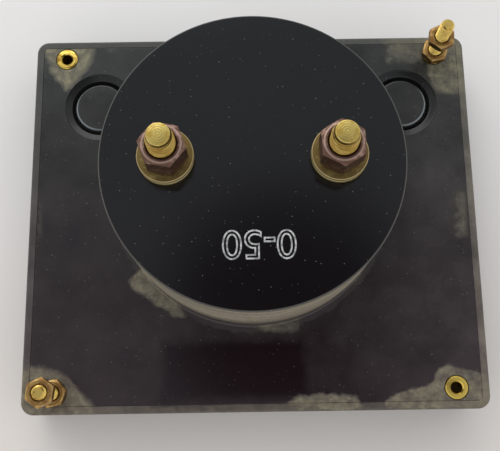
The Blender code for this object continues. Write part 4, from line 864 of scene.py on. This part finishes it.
def cottonSleeve():
    # Woven cotton sleeving dyed dark red: two crossing sets of threads 0.5 mm apart, quite matte
    material, add, shader, place = startMaterial("woven cotton sleeve", {"Roughness": 0.9})
    threads = []
    for tilt in ((1, 1, 1), (-1, 1, 1)):
        along = add("VectorMath", {0: place, 1: tilt}, operation="DOT_PRODUCT").outputs[1]
        wave = add("Math", {0: along, 1: math.tau / (0.8 * mm)}, operation="MULTIPLY")
        threads.append(add("Math", {0: wave}, operation="SINE"))
    weave = add("Math", {0: threads[0], 1: threads[1]}, operation="MAXIMUM")
    tone = add("MapRange", {"Value": weave, "From Min": -0.6})
    colour = add("Mix", {0: tone, 6: "#45140f", 7: "#8a352b"}, data_type="RGBA")
    bump = add("Bump", {"Height": tone, "Strength": 0.6, "Distance": 0.15 * mm})
    feed(shader, {"Base Color": colour, "Normal": bump})
    return material


innerFinishes = {
    "brass": worked("stamped brass sheet", "#cdb272", "#a98d4e", 0.3, 0.8, 0.01),
    "steel": worked("turned bright steel", "#b9b9b7", "#8f9092", 0.28, 0.5, 0.01),
    "soft_iron": worked("machined soft iron", "#8d8d8f", "#6a6b70", 0.42, 0.7, 0.02),
    # sand-cast alloy magnet: dark grey skin with a pebbled grain of about 1 mm
    "magnet_steel": worked("cast magnet alloy", "#626267", "#3f4044", 0.55, 1.0, 0.15),
    # die-cast zinc: dull blue-grey with a soft mottle
    "cast_zinc": worked("die-cast zinc", "#a9acaf", "#868a8f", 0.48, 1.6, 0.04),
    "aluminium": worked("rolled aluminium sheet", "#cdcfd0", "#acafb1", 0.33, 0.6, 0.01),
    "manganin": worked("rolled manganin strip", "#b08a66", "#8b674a", 0.35, 0.7, 0.01),
    # stoved enamels: an even coat with a faint orange peel of about 1.5 mm
    "black_enamel": worked("black stoved enamel", "#131313", "#1d1c1b", 0.35, 1.5, 0.02, 0),
    "white_enamel": worked("cream stoved dial enamel", "#e4e0d3", "#d9d3c2", 0.45, 6, 0.01, 0),
    # cork sheet: brown granules about 1 mm across
    "cork": worked("cork sheet", "#9a7850", "#5a3f26", 0.9, 1.0, 0.2, 0),
    "glass": windowGlass(),
    "copper_wire": windingWire(),
    "cloth_wire": cottonSleeve(),
}
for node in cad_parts.values():
    if node.hide_render:
        continue
    finish = node.data.materials[0].name.split(".")[0]
    node.data.materials.clear()
    node.data.materials.append(innerFinishes[finish])
print("inner pieces finished")


# floor, light and camera; the lamp's size and place are in metres, the camera's place in mm

lampSet = {"size": 0.8, "power": 3.3, "place": (-0.25, 0.75, 0.6)}
cameraSet = {"focal": 56.49, "sensor": 36, "place": (-1.14, -48.5, 217.34),
             "turn": (12.822, 0.088, -0.86)}
dimSpot = {"towards": (0.045, 0.11, 1), "outer": 12, "inner": 5}


def makeStage():
    shape = bmesh.new()
    bmesh.ops.create_grid(shape, x_segments=1, y_segments=1, size=2)
    floor = looseObject("floor", shifted(shape, 0, 0, -0.05 * mm))
    # Painted bench top: off-white, with painted shade towards the near side, warmer and greyer
    # there
    material, add, shader, place = startMaterial("painted bench", {"Roughness": 0.6})
    tone = add("TexNoise", {"Vector": place, "Scale": 12, "Detail": 3})
    nearShade = add("SeparateXYZ", {0: place}).outputs["Y"]
    nearShade = add("MapRange", {"Value": nearShade, "From Min": 60 * mm, "From Max": -75 * mm},
               interpolation_type="SMOOTHSTEP")
    colour = add("Mix", {0: nearShade, 6: "#f3f2f0", 7: "#ece1d7"}, data_type="RGBA")
    colour = add("Mix", {0: tone, 6: colour, 7: "#e6e3df"}, data_type="RGBA")
    feed(shader, {"Base Color": colour})
    floor.data.materials.append(material)

    # a bright room with a greyer ceiling, and a dim spot nearly overhead that the gloss mirrors
    world = bpy.data.worlds.new("studio")
    world.use_nodes = True
    add = partial(addNode, world.node_tree)
    sight = add("TexCoord").outputs["Generated"]
    high = add("SeparateXYZ", {0: sight}).outputs["Z"]
    ceiling = add("MapRange", {"Value": high, "From Min": 0.6, "From Max": 0.9},
                  interpolation_type="SMOOTHSTEP")
    room = add("Mix", {0: ceiling, 6: "#fbfbfc", 7: "#bfc2c8"}, data_type="RGBA")
    over = add("VectorMath", {0: sight, 1: Vector(dimSpot["towards"]).normalized()},
               operation="DOT_PRODUCT").outputs[1]
    outer, inner = (math.cos(math.radians(dimSpot[edge])) for edge in ("outer", "inner"))
    over = add("MapRange", {"Value": over, "From Min": outer, "From Max": inner},
               interpolation_type="SMOOTHSTEP")
    room = add("Mix", {0: over, 6: room, 7: "#3a2c33"}, data_type="RGBA")
    feed(world.node_tree.nodes["Background"], {"Color": room})
    bpy.context.scene.world = world
    light = bpy.data.lights.new("window light", "AREA")
    light.size, light.energy = lampSet["size"], lampSet["power"]
    lamp = newObject("window light", light)
    lamp.location = lampSet["place"]
    lamp.rotation_euler = (-lamp.location).to_track_quat("-Z", "Y").to_euler()

    lens = bpy.data.cameras.new("camera")
    lens.lens, lens.sensor_width = cameraSet["focal"], cameraSet["sensor"]
    camera = newObject("camera", lens)
    camera.location = [c * mm for c in cameraSet["place"]]
    camera.rotation_euler = [math.radians(a) for a in cameraSet["turn"]]
    bpy.context.scene.camera = camera
    bpy.context.scene.view_settings.view_transform = "Standard"


makeStage()
print("stage set")
